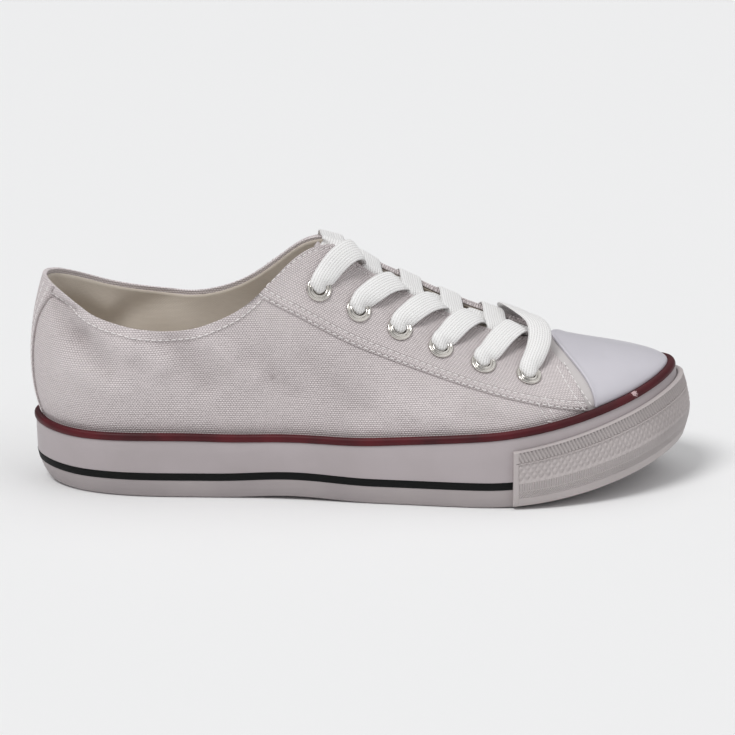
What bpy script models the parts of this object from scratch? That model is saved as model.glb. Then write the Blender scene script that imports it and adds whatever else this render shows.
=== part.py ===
import math
from collections import namedtuple

import bmesh
import bpy
import numpy as np
from mathutils import Vector

# Canvas sneaker, right foot. Metres, +X towards the toe, -Y the lateral (outer) side, +Z up.
LENGTH = 0.2617
BALL_WIDTH = 0.095
WAIST_WIDTH = 0.071
HEEL_WIDTH = 0.068
HEEL_HEIGHT = 0.0857
COLLAR_HEIGHT = 0.0675
INSTEP_HEIGHT = 0.0925
TOE_SPRING = 0.0155
SPRING_START = 0.68
SPRING_POWER = 1.8
ARCH_LIFT = 0.0012
HEEL_FLAT_END = 0.28
BALL_FLAT_START = 0.52
HEEL_ROLL = 0.0016
HEEL_ROLL_END = 0.09
GAP = 0.0003

FOXING_HEIGHT = 0.0265
FOXING_THICKNESS = 0.0024
FOXING_BEND = 0.66
SOLE_EDGE_SOFT = 0.0012
OUTSOLE_EDGE = 0.0068
OUTSOLE_PLATEAU = 0.0095
STRIPE_HEIGHT = 0.0028
STRIPE_PROUD = 0.0002
PIPING_HEIGHT = 0.0025
PIPING_PROUD = 0.0004
INSOLE_THICKNESS = 0.0045

UPPER_WALL = 0.0018
STAY_THICKNESS = 0.0008
CAP_THICKNESS = 0.0011
TONGUE_THICKNESS = 0.0025
TONGUE_DROP = 0.0085
TONGUE_BACK = 0.455
TONGUE_FRONT = 0.825
TONGUE_SEAM = 0.80
TONGUE_FALL = 0.10
TONGUE_EDGE = 0.66
THROAT_GAP = 0.026
THROAT_FRONT = 0.775
THROAT_ROUND = 0.70
THROAT_BACK = 0.36
COLLAR_FRONT = 0.52
OVERLAY_CLEAR = 0.00075

BUMPER_START = 0.735
BUMPER_DROP = 0.0078
BUMPER_THICKNESS = 0.0016
BUMPER_CLEAR = 0.0006
BUMPER_STEP = 0.0005
BUMPER_FOOT = 0.0008
BUMPER_EDGE_SOFT = 0.0006
BUMPER_RIB_BAND = 0.0055
BUMPER_RIB_PITCH = 0.0034
BUMPER_RIB_DEPTH = 0.0005
BUMPER_LIP = 0.0010
RIB_MARGIN = 0.006

EYELET_FLANGE = 0.0051
EYELET_BORE = 0.0025
EYELET_BARREL = 0.0029
EYELET_ROLL = 0.0009
EYELET_SIDES = 9
EYELET_TAIL = 0.0006
DRILL_REACH = 0.006
EYELET_SEAT = 0.0005
LACE_WIDTH = 0.0090
LACE_THICKNESS = 0.0012
LACE_CLEAR = 0.0004
LACE_ARCH = 0.0056
LACE_OVER_EDGE = 0.0034
LACE_CROSSING = 0.0014
LACE_TUCK = 0.0014
LACE_PINCH = 0.55
BAR_OVER_EDGE = 0.0046
BAR_ARCH = 0.0058

HEEL_CENTRE = 0.14
TOE_CENTRE = 0.875
STATIONS = 64
WALL_ROWS = 6

Outline = namedtuple("Outline", "along width lateral medial")
OUTLINE = (
    Outline(0.000, HEEL_WIDTH, 0.000, 0.000),
    Outline(0.030, HEEL_WIDTH, 0.270, 0.270),
    Outline(0.080, HEEL_WIDTH, 0.410, 0.405),
    Outline(0.150, HEEL_WIDTH, 0.490, 0.475),
    Outline(0.250, HEEL_WIDTH, 0.510, 0.490),
    Outline(0.380, WAIST_WIDTH, 0.515, 0.460),
    Outline(0.480, WAIST_WIDTH, 0.575, 0.465),
    Outline(0.580, BALL_WIDTH, 0.470, 0.385),
    Outline(0.660, BALL_WIDTH, 0.500, 0.440),
    Outline(0.730, BALL_WIDTH, 0.505, 0.475),
    Outline(0.800, BALL_WIDTH, 0.470, 0.485),
    Outline(0.870, BALL_WIDTH, 0.390, 0.460),
    Outline(0.930, BALL_WIDTH, 0.275, 0.395),
    Outline(0.975, BALL_WIDTH, 0.125, 0.285),
    Outline(1.000, BALL_WIDTH, -0.090, 0.090),
)

# The sole's side, in shares of FOXING_HEIGHT: its height, and how far its foot and crown lean in.
Side = namedtuple("Side", "along height foot crown")
SIDE = (
    Side(0.00, 0.980, 0.189, 0.000),
    Side(0.12, 0.980, 0.113, 0.008),
    Side(0.25, 0.990, 0.075, 0.015),
    Side(0.40, 0.955, 0.060, 0.015),
    Side(0.55, 1.025, 0.053, 0.023),
    Side(0.65, 1.095, 0.045, 0.045),
    Side(0.73, 1.150, 0.045, 0.075),
    Side(0.80, 1.185, 0.053, 0.113),
    Side(0.87, 1.210, 0.068, 0.151),
    Side(0.94, 1.225, 0.106, 0.196),
    Side(1.00, 1.220, 0.121, 0.219),
)

# Cross sections of the upper: ridge as a share of INSTEP_HEIGHT, its tilt to the medial side, how far
# each wall bellies out as a share of HEEL_WIDTH, and the handles that carry the wall up from the sole
# and over to the ridge.
Section = namedtuple("Section", "along ridge tilt belly_lateral belly_medial rise reach")
SECTION = (
    Section(0.000, 1.250, 0.00, 0.188, 0.188, 0.33, 0.87),
    Section(0.100, 1.260, 0.00, 0.162, 0.162, 0.40, 0.86),
    Section(0.200, 1.280, 0.00, 0.103, 0.103, 0.55, 0.84),
    Section(0.300, 1.280, 0.02, 0.074, 0.088, 0.55, 0.80),
    Section(0.400, 1.220, 0.06, 0.059, 0.088, 0.55, 0.68),
    Section(0.460, 1.100, 0.12, 0.044, 0.088, 0.52, 0.58),
    Section(0.520, 0.975, 0.20, 0.029, 0.088, 0.50, 0.50),
    Section(0.570, 0.895, 0.26, 0.026, 0.088, 0.50, 0.46),
    Section(0.630, 0.800, 0.28, 0.024, 0.074, 0.50, 0.42),
    Section(0.700, 0.712, 0.24, 0.022, 0.059, 0.50, 0.40),
    Section(0.765, 0.640, 0.12, 0.018, 0.029, 0.50, 0.42),
    Section(0.840, 0.590, 0.04, 0.012, 0.012, 0.60, 0.50),
    Section(0.900, 0.572, 0.00, 0.006, 0.006, 0.65, 0.55),
    Section(1.000, 0.560, 0.00, 0.000, 0.000, 0.65, 0.55),
)

# Height of the collar's edge on each side, as a share of COLLAR_HEIGHT; the heel row is HEEL_HEIGHT.
Collar = namedtuple("Collar", "along lateral medial")
COLLAR = (
    Collar(0.000, HEEL_HEIGHT / COLLAR_HEIGHT, HEEL_HEIGHT / COLLAR_HEIGHT),
    Collar(0.030, 1.225, 1.225),
    Collar(0.100, 1.085, 1.105),
    Collar(0.175, 1.010, 1.040),
    Collar(0.236, 1.005, 1.020),
    Collar(0.282, 1.055, 1.050),
    Collar(0.328, 1.150, 1.125),
    Collar(0.374, 1.315, 1.255),
    Collar(0.405, 1.415, 1.350),
    Collar(0.435, 1.450, 1.400),
    Collar(0.480, 1.420, 1.410),
    Collar(0.520, 1.380, 1.400),
)

# Middle line of the last: its shift to the medial side, as a share of BALL_WIDTH.
Centre = namedtuple("Centre", "along medial")
CENTRE = (
    Centre(0.00, 0.000),
    Centre(0.14, 0.000),
    Centre(0.45, 0.010),
    Centre(0.60, 0.021),
    Centre(0.75, 0.032),
    Centre(0.88, 0.063),
    Centre(1.00, 0.090),
)

# Eyelets from the ankle to the toe; share is how far up the wall towards the throat's edge.
Eyelet = namedtuple("Eyelet", "along share")
EYELETS = (
    Eyelet(0.4350, 0.709),
    Eyelet(0.4935, 0.665),
    Eyelet(0.5551, 0.668),
    Eyelet(0.6160, 0.646),
    Eyelet(0.6803, 0.612),
    Eyelet(0.7503, 0.540),
)

# Side view of the eyestay's lower seam and front edge, as shares of LENGTH and INSTEP_HEIGHT.
Seam = namedtuple("Seam", "along height")
STAY_SEAM = (
    Seam(0.325, 0.930),
    Seam(0.356, 0.863),
    Seam(0.408, 0.788),
    Seam(0.481, 0.680),
    Seam(0.558, 0.595),
    Seam(0.631, 0.526),
    Seam(0.705, 0.466),
    Seam(0.779, 0.420),
    Seam(0.832, 0.405),
    Seam(0.838, 0.432),
    Seam(0.816, 0.506),
    Seam(0.793, 0.570),
    Seam(0.784, 0.600),
    Seam(0.776, 0.680),
    Seam(0.776, 1.300),
    Seam(0.325, 1.300),
)

# Rear view of the heel strip: half width at each height, shares of HEEL_WIDTH and HEEL_HEIGHT.
Strip = namedtuple("Strip", "height half")
HEEL_STRIP = (
    Strip(0.20, 0.110),
    Strip(0.45, 0.112),
    Strip(0.65, 0.125),
    Strip(0.80, 0.155),
    Strip(0.92, 0.195),
    Strip(1.10, 0.230),
)

# A strip of lace from its eyelet to its hidden end: rows gone towards the toe, and how far across, from
# the eyelet (0) over the facing's edge (1) to the middle of the throat (2).
Strand = namedtuple("Strand", "row across")
CROSSING = (
    Strand(0.00, 0.00),
    Strand(0.16, 0.45),
    Strand(0.34, 1.00),
    Strand(0.50, 2.00),
    Strand(0.66, 1.40),
    Strand(0.80, 0.88),
)
BAR = (
    Strand(0.00, 0.00),
    Strand(0.22, 0.45),
    Strand(0.42, 1.00),
    Strand(0.46, 2.00),
)

# Rear edge of the toe cap in plan: its place on the middle line, how far it sweeps forward at each side
# as a share of LENGTH, and the half width it sweeps over as a share of BALL_WIDTH.
CAP_REAR = 0.788
CAP_SWEEP = 0.066
CAP_HALF = 0.42
CAP_POWER = 1.3

CANVAS = (0.80, 0.77, 0.77)
LINING = (0.72, 0.68, 0.60)
RUBBER = (0.78, 0.76, 0.76)
CAP = (0.80, 0.80, 0.84)
MAROON = (0.11, 0.010, 0.018)
STRIPE = (0.010, 0.014, 0.012)
STEEL = (0.62, 0.61, 0.60)
LACE = (0.88, 0.88, 0.88)


def spline(knots, values):
    """A natural cubic spline through the points."""
    x = np.asarray(knots, float)
    y = np.asarray(values, float)
    step = np.diff(x)
    size = len(x)
    system = np.eye(size)
    right = np.zeros(size)
    for i in range(1, size - 1):
        system[i, i - 1 : i + 2] = step[i - 1], 2 * (step[i - 1] + step[i]), step[i]
        right[i] = 6 * ((y[i + 1] - y[i]) / step[i] - (y[i] - y[i - 1]) / step[i - 1])
    bend = np.linalg.solve(system, right)

    def value(at):
        at = np.clip(np.asarray(at, float), x[0], x[-1])
        i = np.clip(np.searchsorted(x, at, side="right") - 1, 0, size - 2)
        h = step[i]
        a = (x[i + 1] - at) / h
        b = (at - x[i]) / h
        return a * y[i] + b * y[i + 1] + ((a**3 - a) * bend[i] + (b**3 - b) * bend[i + 1]) * h**2 / 6

    return value


def turn_of(along):
    """The station's turn, even round both rounded ends: 0 at the heel, 1 at the toe."""
    return np.arccos(1 - 2 * np.clip(np.asarray(along, float), 0, 1)) / math.pi


def along_of(turn):
    return (1 - np.cos(math.pi * np.asarray(turn, float))) / 2


def by_turn(rows, column):
    return spline([turn_of(row.along) for row in rows], [column(row) for row in rows])


def ramp(value, start, end):
    return np.clip((np.asarray(value, float) - start) / (end - start), 0, 1)


lateral_edge = by_turn(OUTLINE, lambda row: -row.width * row.lateral)
medial_edge = by_turn(OUTLINE, lambda row: row.width * row.medial)
side_height = by_turn(SIDE, lambda row: row.height * FOXING_HEIGHT)
side_foot = by_turn(SIDE, lambda row: row.foot * FOXING_HEIGHT)
side_crown = by_turn(SIDE, lambda row: row.crown * FOXING_HEIGHT)
ridge_height = by_turn(SECTION, lambda row: row.ridge * INSTEP_HEIGHT)
ridge_tilt = by_turn(SECTION, lambda row: row.tilt)
belly_lateral = by_turn(SECTION, lambda row: row.belly_lateral * HEEL_WIDTH)
belly_medial = by_turn(SECTION, lambda row: row.belly_medial * HEEL_WIDTH)
wall_rise = by_turn(SECTION, lambda row: row.rise)
wall_reach = by_turn(SECTION, lambda row: row.reach)
centre_line = spline([row.along for row in CENTRE], [row.medial * BALL_WIDTH for row in CENTRE])
collar_lateral = spline([row.along for row in COLLAR], [row.lateral * COLLAR_HEIGHT for row in COLLAR])
collar_medial = spline([row.along for row in COLLAR], [row.medial * COLLAR_HEIGHT for row in COLLAR])


def outline(around):
    """Plan of the sole's edge. around is 0 at the toe, 1 at the heel and back to 2: lateral side first."""
    around = np.mod(np.asarray(around, float), 2)
    turn = np.abs(1 - around)
    across = np.where(around <= 1, lateral_edge(turn), medial_edge(turn))
    return np.stack([LENGTH * along_of(turn), across], -1)


def outward(around):
    """Unit normal of the outline in plan, out of the shoe."""
    tangent = outline(np.asarray(around) + 1e-3) - outline(np.asarray(around) - 1e-3)
    normal = np.stack([-tangent[..., 1], tangent[..., 0]], -1)
    return normal / np.linalg.norm(normal, axis=-1, keepdims=True)


def ground_lift(x):
    """Height of the sole's bottom: flat under heel and ball, with heel roll, arch and toe spring."""
    along = np.asarray(x) / LENGTH
    toe = TOE_SPRING * ramp(along, SPRING_START, 1.0) ** SPRING_POWER
    arch = ARCH_LIFT * np.sin(math.pi * ramp(along, HEEL_FLAT_END, BALL_FLAT_START)) ** 2
    return toe + arch + HEEL_ROLL * ramp(along, HEEL_ROLL_END, 0.0) ** 2


def foxing_top(x):
    return ground_lift(x) + side_height(turn_of(np.asarray(x) / LENGTH))


def side_point(around, height, inset, from_top=False):
    """A point of the sole's side, height above its bottom (or below its top), inset from its outer face."""
    around = np.asarray(around, float)
    turn = np.abs(1 - np.mod(around, 2))
    full = side_height(turn)
    level = (full - height) / full if from_top else height / full + 0 * full
    lean = side_foot(turn) * ramp(level, 0.5, 0) ** 2 + side_crown(turn) * ramp(level, 0.3, 1) ** 1.5
    plan = outline(around) - outward(around) * (lean + inset)[..., None]
    low = ground_lift(plan[..., 0])
    high = foxing_top(plan[..., 0])
    return np.concatenate([plan, (low + (high - low) * level)[..., None]], -1)


def feather(around):
    """Where the upper leaves the foxing."""
    point = side_point(around, 0.0, FOXING_THICKNESS + GAP, from_top=True)
    point[..., 2] += GAP
    return point


def ridge_point(turn):
    along = np.clip(along_of(turn), HEEL_CENTRE, TOE_CENTRE)
    return np.stack([LENGTH * along, centre_line(along), ridge_height(turn_of(along))], -1)


def wall(around, share):
    """A point of the upper's outer face: share 0 at the foxing, 1 at the ridge over the foot."""
    around = np.asarray(around, float)
    v = np.asarray(share, float)[..., None]
    turn = np.abs(1 - np.mod(around, 2))
    along = np.clip(along_of(turn), HEEL_CENTRE, TOE_CENTRE)
    start = feather(around)
    end = ridge_point(turn)
    out = np.concatenate([outward(around), np.zeros(around.shape + (1,))], -1)
    up = np.array([0.0, 0.0, 1.0])
    belly = np.where(np.mod(around, 2) <= 1, belly_lateral(turn), belly_medial(turn))[..., None]
    first = start + out * belly + up * (end - start)[..., 2:] * wall_rise(turn)[..., None]
    side = (start - end) * np.array([1.0, 1.0, 0.0]) * wall_reach(turn)[..., None]
    slope = (ridge_height(turn_of(along + 0.004)) - ridge_height(turn_of(along - 0.004))) / (0.008 * LENGTH)
    slope = np.where(along_of(turn) > 0.5, slope, 0)
    second = end + side + up * (slope * side[..., 0] + ridge_tilt(turn) * side[..., 1])[..., None]
    return (1 - v) ** 3 * start + 3 * (1 - v) ** 2 * v * first + 3 * (1 - v) * v**2 * second + v**3 * end


def wall_normal(around, share):
    """Unit normal of the upper's outer face, out of the shoe."""
    around = np.asarray(around, float)
    share = np.asarray(share, float)
    along = wall(around + 1e-3, share) - wall(around - 1e-3, share)
    rising = wall(around, np.minimum(share + 1e-3, 1.0)) - wall(around, share - 1e-3)
    normal = np.cross(rising, along)
    return normal / np.linalg.norm(normal, axis=-1, keepdims=True)


def throat_half(along):
    """Half the throat's opening, round at its toe end."""
    end = np.clip(1 - ramp(along, THROAT_ROUND, THROAT_FRONT) ** 2.5, 0, 1)
    return THROAT_GAP / 2 * np.sqrt(end)


def top_share(around):
    """The wall share at which the upper ends: the collar, the throat's edge, or the ridge ahead of it."""
    share = np.linspace(0, 1, 1001)
    shares = []
    for station in np.atleast_1d(around):
        point = wall(np.full(share.shape, station), share)
        along = point[:, 0] / LENGTH
        height = (collar_lateral if station <= 1 else collar_medial)(along)
        ended = (point[:, 2] > height) & (along < COLLAR_FRONT)
        ended |= (np.abs(point[:, 1] - centre_line(along)) < throat_half(along)) & (along > THROAT_BACK)
        shares.append(share[np.argmax(ended)] if ended.any() else 1.0)
    return np.array(shares)


def stations():
    half = STATIONS // 2
    return np.arange(STATIONS) / half


def material(name, colour, roughness, metallic=0.0):
    made = bpy.data.materials.new(name)
    made.use_nodes = True
    shader = made.node_tree.nodes["Principled BSDF"]
    shader.inputs["Base Color"].default_value = (*colour, 1.0)
    shader.inputs["Roughness"].default_value = roughness
    shader.inputs["Metallic"].default_value = metallic
    return made


def add_object(name, points, faces, colour=None, roughness=0.7, metallic=0.0, merge=0.0, smooth=True):
    """Adds a closed body from points and faces, made of triangles that face outward."""
    mesh = bpy.data.meshes.new(name)
    mesh.from_pydata([tuple(map(float, point)) for point in points], [], faces)
    work = bmesh.new()
    work.from_mesh(mesh)
    if merge:
        bmesh.ops.remove_doubles(work, verts=work.verts, dist=merge)
    bmesh.ops.triangulate(work, faces=work.faces)
    bmesh.ops.recalc_face_normals(work, faces=work.faces)
    work.to_mesh(mesh)
    work.free()
    if smooth:
        mesh.shade_smooth()
    made = bpy.data.objects.new(name, mesh)
    bpy.context.scene.collection.objects.link(made)
    if colour:
        mesh.materials.append(material(name, colour, roughness, metallic))
    return made


def apply_modifier(target, kind, **values):
    modifier = target.modifiers.new(kind.lower(), kind)
    for key, value in values.items():
        setattr(modifier, key, value)
    graph = bpy.context.evaluated_depsgraph_get()
    mesh = bpy.data.meshes.new_from_object(target.evaluated_get(graph))
    target.modifiers.clear()
    old = target.data
    target.data = mesh
    bpy.data.meshes.remove(old)


def combine(target, tool, operation):
    """Applies one exact Boolean and removes its tool."""
    tool.hide_render = True
    tool.display_type = "WIRE"
    apply_modifier(target, "BOOLEAN", operation=operation, object=tool, solver="EXACT")
    bpy.data.objects.remove(tool)


def ring_body(name, loops, closed_path=True, **look):
    """A body swept round the stations. loops are the profile's corners in order, each an array of points."""
    corners = len(loops)
    count = len(loops[0])
    points = np.concatenate(loops)
    faces = []
    for k in range(corners):
        for i in range(count if closed_path else count - 1):
            j = (i + 1) % count
            m = (k + 1) % corners
            faces.append((k * count + i, k * count + j, m * count + j, m * count + i))
    if not closed_path:
        faces.append(tuple(k * count for k in range(corners)))
        faces.append(tuple(k * count + count - 1 for k in reversed(range(corners))))
    return add_object(name, points, faces, **look)


def slab_body(name, loops, **look):
    """A body with a bottom and a top, walled by loops from the bottom up; caps run straight across."""
    count = len(loops[0])
    half = count // 2
    points = np.concatenate(loops)
    faces = []
    for k in range(len(loops) - 1):
        for i in range(count):
            j = (i + 1) % count
            faces.append((k * count + i, k * count + j, (k + 1) * count + j, (k + 1) * count + i))
    for base in (0, (len(loops) - 1) * count):
        for i in range(half):
            corners = [i, i + 1, (count - i - 1) % count, (count - i) % count]
            corners = list(dict.fromkeys(corners))
            faces.append(tuple(base + corner for corner in corners))
    return add_object(name, points, faces, **look)


def tube_faces(count):
    """Faces of a capped tube between two rings of points."""
    faces = [(i, (i + 1) % count, count + (i + 1) % count, count + i) for i in range(count)]
    return faces + [tuple(range(count)), tuple(reversed(range(count, 2 * count)))]


def prism(outline_points, axis, low, high):
    """A straight cutter of a polygon. axis is the direction it runs in, low and high its ends."""
    points = []
    for end in (low, high):
        for a, b in outline_points:
            points.append({"X": (end, a, b), "Y": (a, end, b), "Z": (a, b, end)}[axis])
    return add_object("cutter", points, tube_faces(len(outline_points)))


def wall_grid(rings, tops):
    """Rows of the upper's outer face from the foxing to its top edge, one array of points a row."""
    return [wall(rings, tops * row / WALL_ROWS) for row in range(WALL_ROWS + 1)]


def sheet_faces(rows, count):
    faces = []
    for k in range(rows - 1):
        for i in range(count):
            j = (i + 1) % count
            low, high = k * count, (k + 1) * count
            faces += [(low + i, low + j, high + j), (low + i, high + j, high + i)]
    return faces


def sheet_object(name, rows, **look):
    return add_object(name, np.concatenate(rows), sheet_faces(len(rows), len(rows[0])), merge=1e-5, **look)


def turn_outward(target):
    """Faces an open sheet away from the inside of the shoe."""
    mesh = target.data
    middle = Vector((LENGTH * 0.5, 0.0, FOXING_HEIGHT))
    outwards = sum(poly.area * poly.normal.dot(poly.center - middle) for poly in mesh.polygons)
    if outwards < 0:
        mesh.flip_normals()


def shell(name, rings, tops, gap, thickness, **look):
    """A layer over the whole upper, gap clear of it, to be cut to an overlay's outline."""
    made = sheet_object(name, wall_grid(rings, tops), **look)
    turn_outward(made)
    normals = np.array([vertex.normal[:] for vertex in made.data.vertices])
    for vertex, normal in zip(made.data.vertices, normals):
        vertex.co += Vector(normal) * gap
    apply_modifier(made, "SOLIDIFY", thickness=thickness, offset=1.0, use_even_offset=True, use_rim=True)
    return made


def foxing_clear(low_along, high_along, extra):
    """Side view points along the foxing's top, a clearance above it."""
    xs = np.linspace(low_along * LENGTH, high_along * LENGTH, 25)
    return [(float(x), float(foxing_top(np.clip(x, 0, LENGTH)) + extra)) for x in xs]


def eyelet_seats():
    """Seat of every eyelet: its side, row, place round the shoe and share of the wall."""
    seats = []
    for side in (-1, 1):
        for row, eyelet in enumerate(EYELETS, 1):
            turn = turn_of(eyelet.along)
            around = 1 - turn if side < 0 else 1 + turn
            top = top_share(around)[0]
            seats.append((side, row, float(around), float(eyelet.share * top)))
    return seats


def seat_frame(around, share):
    """Centre and axes of an eyelet: across, along and out of the wall."""
    centre = wall(np.array(around), np.array(share))
    out = wall_normal(np.array(around), np.array(share))
    across = np.cross(out, (0.0, 0.0, 1.0))
    across = across / np.linalg.norm(across)
    return centre, across, np.cross(out, across), out


def lathe(name, frame, profile, **look):
    """A ring turned round an eyelet's axis. profile is (radius, height) corners, closed."""
    centre, across, along, out = frame
    loops = []
    for radius, height in profile:
        angles = np.arange(EYELET_SIDES) * 2 * math.pi / EYELET_SIDES
        spokes = np.outer(np.cos(angles), across) + np.outer(np.sin(angles), along)
        loops.append(centre + spokes * radius + out * height)
    return ring_body(name, loops, **look)


def drill(frame, radius):
    """A cutter through the wall at an eyelet's seat."""
    centre, across, along, out = frame
    points = []
    for height in (-DRILL_REACH, DRILL_REACH):
        for i in range(EYELET_SIDES):
            angle = 2 * math.pi * i / EYELET_SIDES
            spoke = across * math.cos(angle) + along * math.sin(angle)
            points.append(centre + spoke * radius + out * height)
    return add_object("drill", points, tube_faces(EYELET_SIDES))


def make_sole(rings):
    """Outsole, dark stripe, foxing and piping, from the ground up."""
    plateau_inset = FOXING_THICKNESS + GAP
    slab_body(
        "outsole",
        [
            side_point(rings, 0.0, SOLE_EDGE_SOFT),
            side_point(rings, SOLE_EDGE_SOFT, 0.0),
            side_point(rings, OUTSOLE_EDGE, 0.0),
            side_point(rings, OUTSOLE_EDGE, plateau_inset),
            side_point(rings, OUTSOLE_PLATEAU, plateau_inset),
        ],
        colour=RUBBER,
    )
    low = OUTSOLE_EDGE + GAP
    high = low + STRIPE_HEIGHT
    ring_body(
        "stripe_dark",
        [
            side_point(rings, low, -STRIPE_PROUD),
            side_point(rings, high, -STRIPE_PROUD),
            side_point(rings, high, FOXING_THICKNESS),
            side_point(rings, low, FOXING_THICKNESS),
        ],
        colour=STRIPE,
    )
    top = PIPING_HEIGHT + GAP
    middle = FOXING_HEIGHT * FOXING_BEND
    ring_body(
        "foxing",
        [
            side_point(rings, high + GAP, 0.0),
            side_point(rings, middle, 0.0),
            side_point(rings, top, 0.0, from_top=True),
            side_point(rings, top, FOXING_THICKNESS, from_top=True),
            side_point(rings, middle, FOXING_THICKNESS),
            side_point(rings, high + GAP, FOXING_THICKNESS),
        ],
        colour=RUBBER,
    )
    ring_body(
        "piping_red",
        [
            side_point(rings, PIPING_HEIGHT, -PIPING_PROUD * 0.5, from_top=True),
            side_point(rings, PIPING_HEIGHT * 0.5, -PIPING_PROUD, from_top=True),
            side_point(rings, 0.0, PIPING_PROUD * 0.5, from_top=True),
            side_point(rings, 0.0, FOXING_THICKNESS, from_top=True),
            side_point(rings, PIPING_HEIGHT, FOXING_THICKNESS, from_top=True),
        ],
        colour=MAROON,
    )


def make_insole(rings):
    inset = FOXING_THICKNESS + 2 * GAP + UPPER_WALL + GAP
    low = OUTSOLE_PLATEAU + GAP
    slab_body(
        "insole",
        [side_point(rings, low, inset), side_point(rings, low + INSOLE_THICKNESS, inset)],
        colour=LINING,
    )


def make_bumper():
    """Toe guard: a stepped band round the toe and the ribbed strip in its upper step."""
    start = 1 - float(turn_of(BUMPER_START))
    half = STATIONS // 2
    within = np.arange(int(start * half), -int(start * half) - 1, -1) / half
    path = np.concatenate([[start], within, [-start]])
    face = -(STRIPE_PROUD + BUMPER_CLEAR)
    outer = face - BUMPER_THICKNESS
    step = face - BUMPER_STEP
    band = BUMPER_DROP + BUMPER_LIP + BUMPER_RIB_BAND + 2 * GAP
    ring_body(
        "toe_bumper",
        [
            side_point(path, BUMPER_FOOT, outer + BUMPER_EDGE_SOFT),
            side_point(path, BUMPER_FOOT + 2 * BUMPER_EDGE_SOFT, outer),
            side_point(path, band, outer, from_top=True),
            side_point(path, band, step, from_top=True),
            side_point(path, BUMPER_DROP + BUMPER_LIP, step, from_top=True),
            side_point(path, BUMPER_DROP + BUMPER_LIP, outer, from_top=True),
            side_point(path, BUMPER_DROP, outer + BUMPER_EDGE_SOFT / 2, from_top=True),
            side_point(path, BUMPER_DROP, face, from_top=True),
            side_point(path, FOXING_HEIGHT * FOXING_BEND, face),
            side_point(path, OUTSOLE_EDGE + GAP + STRIPE_HEIGHT, face),
            side_point(path, OUTSOLE_EDGE, face),
            side_point(path, SOLE_EDGE_SOFT, face),
            side_point(path, BUMPER_FOOT, face + BUMPER_EDGE_SOFT / 2),
        ],
        closed_path=False,
        colour=RUBBER,
    )
    dense = np.linspace(start - RIB_MARGIN, -start + RIB_MARGIN, 2001)
    run = side_point(dense, FOXING_HEIGHT / 2, 0.0)
    travel = np.concatenate([[0], np.cumsum(np.linalg.norm(np.diff(run, axis=0), axis=1))])
    half_pitches = 2 * int(travel[-1] / BUMPER_RIB_PITCH)
    path = np.interp(np.linspace(0, travel[-1], half_pitches + 1), travel, dense)
    crest = np.where(np.arange(len(path)) % 2 == 1, outer, outer + BUMPER_RIB_DEPTH)
    high = BUMPER_DROP + BUMPER_LIP + GAP
    low = band - GAP
    ring_body(
        "bumper_ribs",
        [
            side_point(path, low, crest, from_top=True),
            side_point(path, high, crest, from_top=True),
            side_point(path, high, step - GAP, from_top=True),
            side_point(path, low, step - GAP, from_top=True),
        ],
        closed_path=False,
        colour=RUBBER,
        smooth=False,
    )


def make_upper(rings, tops, seats):
    skirt_inset = FOXING_THICKNESS + GAP
    rows = [
        side_point(rings, OUTSOLE_PLATEAU + GAP, skirt_inset),
        side_point(rings, FOXING_HEIGHT * FOXING_BEND, skirt_inset),
    ]
    made = sheet_object("upper", rows + wall_grid(rings, tops), colour=CANVAS, roughness=0.95)
    turn_outward(made)
    apply_modifier(made, "SOLIDIFY", thickness=UPPER_WALL, offset=-1.0, use_even_offset=True, use_rim=True)
    for _, _, around, share in seats:
        combine(made, drill(seat_frame(around, share), EYELET_BARREL + GAP), "DIFFERENCE")
    made.data.shade_smooth()


def make_eyestays(rings, tops, seats):
    for name, side in (("eyestay_lateral", -1), ("eyestay_medial", 1)):
        made = shell(name, rings, tops, GAP, STAY_THICKNESS, colour=CANVAS, roughness=0.95)
        side_view = [(seam.along * LENGTH, seam.height * INSTEP_HEIGHT) for seam in STAY_SEAM]
        middle = float(centre_line(THROAT_FRONT)) + side * GAP
        low, high = sorted((middle, side * BALL_WIDTH))
        combine(made, prism(side_view, "Y", low, high), "INTERSECT")
        for seat_side, _, around, share in seats:
            if seat_side == side:
                combine(made, drill(seat_frame(around, share), EYELET_BARREL + GAP), "DIFFERENCE")
        made.data.shade_smooth()


def make_toe_cap(rings, tops):
    made = shell("toe_cap", rings, tops, GAP, CAP_THICKNESS, colour=CAP, roughness=0.5)
    clear = foxing_clear(0.70, 1.10, OVERLAY_CLEAR)
    side_view = clear + [(LENGTH * 1.1, INSTEP_HEIGHT), (LENGTH * 0.7, INSTEP_HEIGHT)]
    combine(made, prism(side_view, "Y", -BALL_WIDTH, BALL_WIDTH), "INTERSECT")
    middle = float(centre_line(CAP_REAR))
    half = CAP_HALF * BALL_WIDTH
    rear = []
    for step in np.linspace(-1.5, 1.5, 31):
        sweep = CAP_SWEEP * min(abs(step), 1.2) ** CAP_POWER
        rear.append((LENGTH * (CAP_REAR + sweep), middle + half * step))
    plan = rear + [(LENGTH * 1.1, middle + half * 1.5), (LENGTH * 1.1, middle - half * 1.5)]
    combine(made, prism(plan, "Z", 0.0, INSTEP_HEIGHT), "INTERSECT")
    made.data.shade_smooth()


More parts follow.
